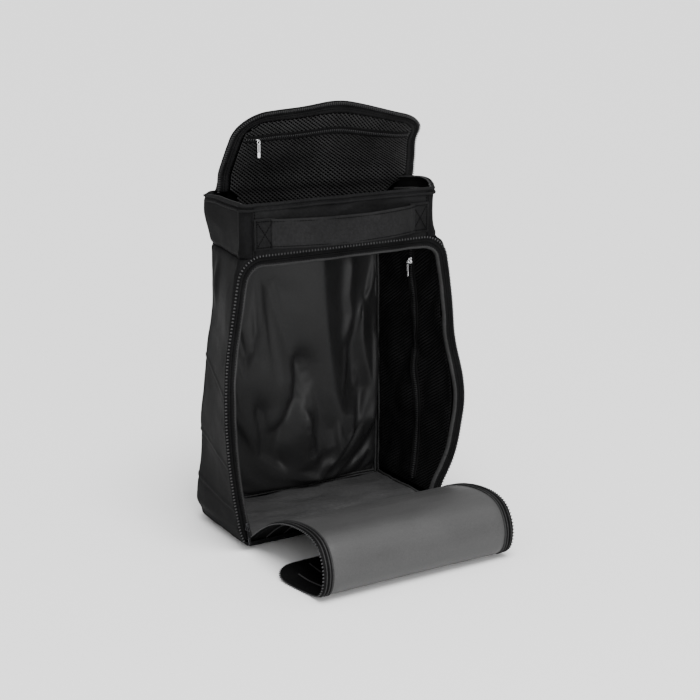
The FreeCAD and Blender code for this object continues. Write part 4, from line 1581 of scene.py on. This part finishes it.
def door_profile():
    """Side view of the door's outer face: smooth curve (y, z) and where each piece ends."""
    hinges = [joint(name)[1:] for name in DOOR_JOINTS]
    end = np.array([cad("door_zip_7")[1][1] - 0.2, hinges[-1][1]])
    corners = hinges + [end]
    middles = [(a + b) / 2 for a, b in zip(corners, corners[1:])]
    hem = np.array([FRONT_Y + 2.2, BASE_TOP + 0.6])
    stretches = [[hem, hinges[0] + [0.2, -0.2], middles[0]]]
    for k in range(1, len(hinges)):
        stretches.append([middles[k - 1], hinges[k], middles[k]])
    stretches.append([middles[-1], (middles[-1] + end) / 2, end])
    curve, cuts, total = [], [0.0], 0.0
    for a, b, c in stretches:
        t = np.linspace(0.0, 1.0, 40)[:, None]
        part = (1 - t) ** 2 * a + 2 * t * (1 - t) * b + t ** 2 * c
        total += np.linalg.norm(np.diff(part, axis=0), axis=1).sum()
        cuts.append(total)
        curve.append(part if not len(curve) else part[1:])
    return np.concatenate(curve), cuts


DOOR_CURVE, DOOR_CUTS = door_profile()
DOOR_LENGTH = DOOR_CUTS[-1]
DOOR_STEPS = np.linalg.norm(np.diff(DOOR_CURVE, axis=0), axis=1)
DOOR_ALONG = np.concatenate([[0.0], np.cumsum(DOOR_STEPS)])
DOOR_TANGENT = tangents(DOOR_CURVE)


def door_point(x, s, h):
    """A point of the rolled door: x across, s along from the hem, h out of its outer face."""
    x, s, h = np.broadcast_arrays(*(np.asarray(a, float) for a in (x, s, h)))
    y = np.interp(s, DOOR_ALONG, DOOR_CURVE[:, 0])
    z = np.interp(s, DOOR_ALONG, DOOR_CURVE[:, 1])
    ty = np.interp(s, DOOR_ALONG, DOOR_TANGENT[:, 0])
    tz = np.interp(s, DOOR_ALONG, DOOR_TANGENT[:, 1])
    size = np.sqrt(ty ** 2 + tz ** 2)
    ny, nz = tz / size, -ty / size
    drift = (-4.0 * smooth((s - 150.0) / 60.0)
             - 10.0 * smooth((s - 215.0) / (DOOR_LENGTH - 215.0)))
    lift = 5.0 * smooth((s - 240.0) / (DOOR_LENGTH - 240.0)) ** 2
    return np.stack([x + drift, y + ny * h, z + nz * h + lift], -1)


def door_half(s, inset=0.0):
    """Half width of the door at s, rounded at its free corners."""
    radius = DOOR_RADIUS - inset
    over = np.clip(s - (DOOR_LENGTH - DOOR_RADIUS), 0.0, radius)
    return DOOR_HALF - DOOR_RADIUS + np.sqrt(np.maximum(radius ** 2 - over ** 2, 0.0))


def door_rows(k, inset=0.0):
    """Places along one stretch of the door, with one more beyond each cut."""
    a, b = DOOR_CUTS[k], DOOR_CUTS[k + 1]
    rows = max(8, int((b - a) * 0.8))
    if k < len(DOOR_CUTS) - 2:
        s = np.linspace(a, b, rows)
        after = s[-1] + (s[-1] - s[-2])
    else:
        b = DOOR_LENGTH - inset
        s = a + (b - a) * np.sin(np.linspace(0.0, np.pi / 2, rows))
        after = s[-1] + 0.01
    before = s[0] - (s[1] - s[0]) if k else s[0] - 0.01
    return np.concatenate([[before], s, [after]])


def door_sheet(k, inset, height, thick, cols=120):
    """Rings round one stretch of a layer: its face, then its underside."""
    s = door_rows(k, inset)
    span = np.linspace(-1.0, 1.0, cols)
    x = span[None, :] * door_half(s, inset)[:, None]
    s = s[:, None] + np.zeros((1, cols))
    top = door_point(x, s, height(x, s))
    under = door_point(x, s, height(x, s) - thick)
    return np.concatenate([top, under[:, ::-1]], axis=1)


def seamless(name, rings, material):
    """Open tubes from rings with a spare row at both ends, which sets their normals, so
    that neighbouring stretches shade as one surface."""
    points, faces, normals, uvs, start = [], [], [], [], 0
    for ring in rings:
        wide = np.concatenate([ring[:, -1:], ring, ring[:, :1]], axis=1)
        normal = unit(np.cross(np.gradient(wide, axis=1), np.gradient(wide, axis=0)))
        normal, grid = normal[1:-1, 1:-1], ring[1:-1]
        rows, cols = grid.shape[:2]
        centre = grid.mean(axis=1, keepdims=True)
        sign = np.sign(((grid - centre) * normal).sum(-1).mean())
        faces += quads(rows, cols, True, start, flip=sign < 0)
        points.append(grid.reshape(-1, 3))
        normals.append((normal * sign).reshape(-1, 3))
        uvs.append(lengths_uv(grid).reshape(-1, 2))
        start += rows * cols
    piece = make_mesh(name, np.concatenate(points), faces, material, np.concatenate(uvs))
    piece.data.normals_split_custom_set_from_vertices(np.concatenate(normals).tolist())
    return piece


def door_edges(k):
    """Edge lines (x, s) of one stretch with their inward directions, each with a spare
    point beyond both ends."""
    a, b = DOOR_CUTS[k], DOOR_CUTS[k + 1]
    if k < len(DOOR_CUTS) - 2:
        lines = []
        for side in (LEFT, RIGHT):
            s = np.linspace(a, b, max(4, int(b - a)))
            s = np.concatenate([[s[0] - (s[1] - s[0])], s, [s[-1] + (s[1] - s[0])]])
            line = np.stack([np.full(len(s), side * DOOR_HALF), s], -1)
            lines.append((line, every([-side, 0.0], s)))
        return lines
    turn = np.linspace(0.0, np.pi / 2, 16)[1:]
    right = [(DOOR_HALF, a - 1.0), (DOOR_HALF, DOOR_LENGTH - DOOR_RADIUS)]
    right += [(DOOR_HALF - DOOR_RADIUS * (1 - math.cos(t)),
               DOOR_LENGTH - DOOR_RADIUS * (1 - math.sin(t))) for t in turn]
    left = [(-x, s) for x, s in right]
    line = resample(left + right[::-1], step=1.0)
    along = tangents(line)
    inward = np.stack([along[:, 1], -along[:, 0]], -1)
    if inward[0, 0] < 0:
        inward = -inward
    return [(line, inward)]


def door_strip(line, inward, profile):
    """A profile of (inset, height) carried along one edge line of the door."""
    columns = []
    for inset, height in profile:
        at = line + inward * inset
        columns.append(door_point(at[:, 0], at[:, 1], height))
    return np.stack(columns, 1)


def lining_height(x, s):
    """The padded lining swells a little, with soft ridges across the roll."""
    edge = smooth((DOOR_HALF - DOOR_TAPE + 1 - np.abs(x)) / 9.0)
    flat = np.stack([x * 0.25, s, np.zeros_like(x)], -1)
    ridges = cloud(flat, (40, 17, 20), 151) * 0.9 + cloud(flat, (30, 8, 20), 152) * 0.18
    end = smooth((DOOR_LENGTH - 9 - s) / 9.0) * smooth((s - 3) / 6)
    return 2.1 + end * edge * (0.6 + ridges)


def outer_height(x, s):
    flat = np.stack([x, s, np.zeros_like(x)], -1)
    seams = sum(np.exp(-((np.abs(x) - at) / 1.4) ** 2) for at in DOOR_SEAMS)
    return 0.4 + cloud(flat, (36, 26, 20), 153) * 0.5 - 0.35 * seams


def door_body(k, piece):
    """The last stretch rides on the last strip; every other stretch has its placement baked
    into its mesh.
    """
    last = len(DOOR_JOINTS)
    if k == last:
        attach(piece, f"door_{last}")
        return
    start = door_point(0.0, DOOR_CUTS[k], 0.0)
    end = door_point(0.0, DOOR_CUTS[k + 1], 0.0)
    if k == 0:
        start = door_point(0.0, 0.5, 0.0)
        end = door_point(0.0, 9.0, 0.0)
    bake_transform(piece)


def build_door_stretch(k):
    number = min(k + 1, len(DOOR_JOINTS))
    word = str(k)
    inner = DOOR_TAPE - 2.0
    # The outer cloth takes the darker nylon copy, which holds painted shade.
    cloth = seamless("door_outer_" + word, [door_sheet(k, 1.2, outer_height, 0.8)],
                     SHADED_DOOR_NYLON)
    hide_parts(f"door_panel_{number}")
    lining = seamless("door_lining_" + word, [door_sheet(k, inner, lining_height, 0.9)],
                      DOOR_GREY)
    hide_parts(f"door_lining_{number}")
    tapes, teeth, stitches, trims = [], [], [], []
    for line, inward in door_edges(k):
        tapes.append(door_strip(line, inward, ribbon(0.2, DOOR_TAPE, 0.5, 2.6,
                                                     grooves=(5.4,), depth=0.5)))
        trims.append(door_strip(line, inward, oval(1.0, 0.9, 8, (DOOR_TAPE - 0.4, 2.6))))
        trims.append(door_strip(line, inward, oval(0.7, 0.7, 8, (7.4, 2.6))))
        trims.append(door_strip(line, inward, oval(0.6, 0.6, 8, (3.4, 2.6))))
        line, inward = line[1:-1], inward[1:-1]
        path = door_point(line[:, 0], line[:, 1], 1.5)
        inner_line = line + inward
        side = unit(door_point(inner_line[:, 0], inner_line[:, 1], 1.5) - path)
        face = unit(door_point(line[:, 0], line[:, 1], 2.5) - path)
        teeth += bead_places(path, side, face, TOOTH_PITCH)
        at = line + inward * 5.4
        stitches += stitch_places(door_point(at[:, 0], at[:, 1], 2.45), face)
    parts = [
        (seamless("door_tape_" + word, tapes, TAPE), "zip_tape"),
        (seamless("door_trim_" + word, trims, BINDING), "binding"),
        (beads("door_teeth_" + word, teeth, TOOTH, TEETH), "zip_teeth"),
        (beads("door_stitches_" + word, stitches, STITCH, THREAD), "zip_tape"),
    ]
    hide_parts(f"door_zip_{number}")
    seams = []
    for x0 in (-DOOR_SEAMS[1], -DOOR_SEAMS[0], *DOOR_SEAMS):
        a, b = DOOR_CUTS[k], DOOR_CUTS[k + 1]
        if k == len(DOOR_JOINTS):
            b = DOOR_LENGTH - 12.0 if abs(x0) < 90 else DOOR_LENGTH - 26.0
        s = np.linspace(a, b, max(6, int(b - a)))
        s = np.concatenate([[s[0] - 1.0], s, [s[-1] + 1.0]])
        outside = outer_height(np.full(len(s), x0), s) - 1.0
        seams.append(np.stack([door_point(x0 + across, s, outside + high)
                               for across, high in oval(0.8, 0.7, 8)], 1))
    parts.append((seamless("door_outer_seams_" + word, seams, SEAM_TAPE), "binding"))
    for piece in [cloth, lining] + [p for p, _ in parts]:
        door_body(k, piece)


# ======================================================================================
# Zip sliders and pulls
# ======================================================================================
def bar(profile_ab, low, high, origin, axes):
    """A bar with a closed profile in the first two axes, run along the third."""
    a_axis, b_axis, c_axis = (np.asarray(v, float) for v in axes)
    rows = []
    for at, share in ((low, 0.7), (low + 0.35, 1.0), (high - 0.35, 1.0), (high, 0.7)):
        rows.append([origin + a_axis * a * share + b_axis * b * share + c_axis * at
                     for a, b in profile_ab])
    return np.array(rows)


def rounded_box(half_a, half_b, power=0.35, count=20):
    turn = np.linspace(0.0, 2.0 * np.pi, count, endpoint=False)
    c, s = np.cos(turn), np.sin(turn)
    return np.stack([half_a * np.sign(c) * np.abs(c) ** power,
                     half_b * np.sign(s) * np.abs(s) ** power], -1)


def build_slider(node, along, face, material, body):
    """A slider: two waisted plates round the teeth and a bridge that holds the pull."""
    low, high = cad(node)
    centre = (low + high) / 2.0
    along, face = unit(np.asarray(along, float)), unit(np.asarray(face, float))
    side = np.cross(along, face)
    grids = []
    for lift in (-0.9, 0.75):
        rows = []
        for at in np.linspace(-4.0, 4.0, 13):
            half = 1.75 + 0.75 * math.cos(at / 4.0 * math.pi / 2 + 0.9) ** 2
            end = 1.0 - 0.25 * smooth((abs(at) - 3.2) / 0.8)
            rows.append([centre + along * at + side * a * end + face * (lift + b * end)
                         for a, b in rounded_box(half, 0.42)])
        grids.append(np.array(rows))
    bridge = []
    for turn in np.linspace(0.0, np.pi, 12):
        at = centre + along * 2.3 * math.cos(turn) + face * (1.05 + 1.15 * math.sin(turn))
        radial = along * math.cos(turn) + face * math.sin(turn)
        bridge.append([at + side * a + radial * b for a, b in rounded_box(0.75, 0.32)])
    grids.append(np.array(bridge))
    post = bar(rounded_box(0.5, 0.9), -0.8, 0.8, centre + along * 2.2, (side, along, face))
    grids.append(post)
    piece = tubes(node + "_metal", grids, material)
    fix_normals(piece)
    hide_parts(node)
    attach(piece, body)


def fix_normals(piece):
    """Point every face of a closed piece outward."""
    work = bmesh.new()
    work.from_mesh(piece.data)
    bmesh.ops.recalc_face_normals(work, faces=work.faces)
    work.to_mesh(piece.data)
    work.free()


def build_pull(node, joint_name, wide, thin, material, curl=0.0):
    """A pull: a loop round its pin, and a long bar with a slot and a rounded end."""
    pin = joint(joint_name)
    wide, thin = np.asarray(wide, float), np.asarray(thin, float)
    down = np.array([0.0, 0.0, -1.0])
    length = 18.5
    grids = []

    def spine(s):
        return pin + down * s + thin * curl * (s / length) ** 2

    ring = []
    for turn in np.linspace(0.0, 2.0 * np.pi, 25):
        at = pin + down * 1.6 + wide * 1.45 * math.cos(turn) + down * 2.1 * math.sin(turn)
        radial = wide * math.cos(turn) + down * math.sin(turn)
        ring.append([at + radial * a + thin * b for a, b in oval(0.45, 0.5, 8)])
    grids.append(np.array(ring))
    for shift, half in ((-1.05, 0.42), (1.05, 0.42)):
        rows = [[spine(s) + wide * (shift + a) + thin * b for a, b in rounded_box(half, 0.5)]
                for s in np.linspace(3.6, 12.5, 10)]
        grids.append(np.array(rows))
    rows = []
    for s in np.linspace(11.8, length, 14):
        end = math.sqrt(max(0.05, 1.0 - max(0.0, (s - (length - 1.5)) / 1.5) ** 2))
        rows.append([spine(s) + wide * a * end + thin * b for a, b in rounded_box(1.5, 0.5)])
    grids.append(np.array(rows))
    piece = tubes(node + "_metal", grids, material)
    fix_normals(piece)
    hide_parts(node)
    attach(piece, node)


def build_hardware():
    lid_face = (0.0, -math.cos(LID_LEAN), -math.sin(LID_LEAN))
    build_slider("lid_pocket_slider", (1, 0, 0), lid_face, SILVER,
                 "lid_pocket_slider")
    build_pull("lid_pocket_pull", "lid_pocket_pull_swing", (1, 0, 0), (0, -1, 0), SILVER)
    build_slider("side_pocket_slider", (0, 0, 1), (-1, 0, 0), SILVER,
                 "side_pocket_slider")
    build_pull("side_pocket_pull", "side_pocket_pull_swing", (0, 1, 0), (-1, 0, 0), SILVER)
    build_slider("rim_zip_slider", (0, 1, 0), (1, 0, 0), DARK_METAL,
                 "rim_zip_slider")
    build_pull("rim_zip_pull", "rim_pull_swing", (0, 1, 0), (1, 0, 0), DARK_METAL)
    build_slider("door_zip_slider", (0, 0, 1), (0, -1, 0), DARK_METAL,
                 "door_zip_slider")
    build_pull("door_zip_pull", "door_pull_swing", (1, 0, 0), (0, -1, 0), DARK_METAL,
               curl=3.0)


# ======================================================================================
# Stage, light and camera
# ======================================================================================
WORLD_STRENGTH = 0.75
SUN_ANGLE = math.radians(40.0)
SUN_POWER = 4.2
SUN_DIRECTION = Vector((0.12, 0.75, -1.9))
LIGHT_TARGET = (0.0, -0.03, 0.2)
# Name: place, width and height in metres, power in watts
SOFT_LIGHTS = {
    "front": ((-0.35, -1.9, 0.62), (0.9, 0.7), 19.0),
    "side": ((-1.7, -1.1, 0.9), (0.5, 0.9), 1.2),
}
CAMERA_LENS = 78.5
CAMERA_AZIMUTH = math.radians(-30.84)
CAMERA_ELEVATION = math.radians(15.24)
CAMERA_DISTANCE = 1.7136
CAMERA_TARGET = Vector((0.04395, 0.0, 0.18604))


def area_light(name, place, target, size, power):
    data = bpy.data.lights.new(name, "AREA")
    data.shape = "RECTANGLE"
    data.size, data.size_y = size
    data.energy = power
    lamp = bpy.data.objects.new(name, data)
    lamp.location = place
    aim = Vector(target) - Vector(place)
    lamp.rotation_euler = aim.to_track_quat("-Z", "Y").to_euler()
    bpy.context.scene.collection.objects.link(lamp)


def build_stage():
    bpy.ops.mesh.primitive_plane_add(size=120.0, location=(0, 0, 0))
    floor = bpy.context.object
    floor.name = "studio_floor"
    floor.data.materials.append(new_material("studio_white", (0.92, 0.92, 0.92), 0.9,
                                             specular=0.1))
    world = bpy.data.worlds.new("studio")
    world.use_nodes = True
    world.node_tree.nodes["Background"].inputs["Color"].default_value = (1.0, 1.0, 1.0, 1.0)
    world.node_tree.nodes["Background"].inputs["Strength"].default_value = WORLD_STRENGTH
    bpy.context.scene.world = world
    sun = bpy.data.lights.new("overhead", "SUN")
    sun.angle = SUN_ANGLE
    sun.energy = SUN_POWER
    lamp = bpy.data.objects.new("overhead", sun)
    lamp.rotation_euler = SUN_DIRECTION.to_track_quat("-Z", "Y").to_euler()
    bpy.context.scene.collection.objects.link(lamp)
    for name, (place, size, power) in SOFT_LIGHTS.items():
        area_light(name, place, LIGHT_TARGET, size, power)


def build_camera():
    data = bpy.data.cameras.new("photo_view")
    data.sensor_width = 36.0
    data.lens = CAMERA_LENS
    camera = bpy.data.objects.new("photo_view", data)
    flat = math.cos(CAMERA_ELEVATION)
    back = Vector((math.sin(CAMERA_AZIMUTH) * flat, -math.cos(CAMERA_AZIMUTH) * flat,
                   math.sin(CAMERA_ELEVATION)))
    camera.location = CAMERA_TARGET + back * CAMERA_DISTANCE
    camera.rotation_mode = "QUATERNION"
    camera.rotation_quaternion = (-back).to_track_quat("-Z", "Y")
    data.clip_start, data.clip_end = 0.01, 50.0
    bpy.context.scene.collection.objects.link(camera)
    bpy.context.scene.camera = camera


# ======================================================================================
# Making
# ======================================================================================
build_camera()
build_stage()
build_walls()
build_back()
build_base()
build_band()
build_corner_backing()
build_divider()
build_opening_zip()
build_side_linings()
build_side_pocket()
build_back_lining()
build_floor_lining()
build_inner_seams()
build_handle()
build_rim()
build_top_rear()
build_top_back()
build_lid()
build_lid_hinge()
for stretch in range(len(DOOR_CUTS) - 1):
    build_door_stretch(stretch)
build_hardware()
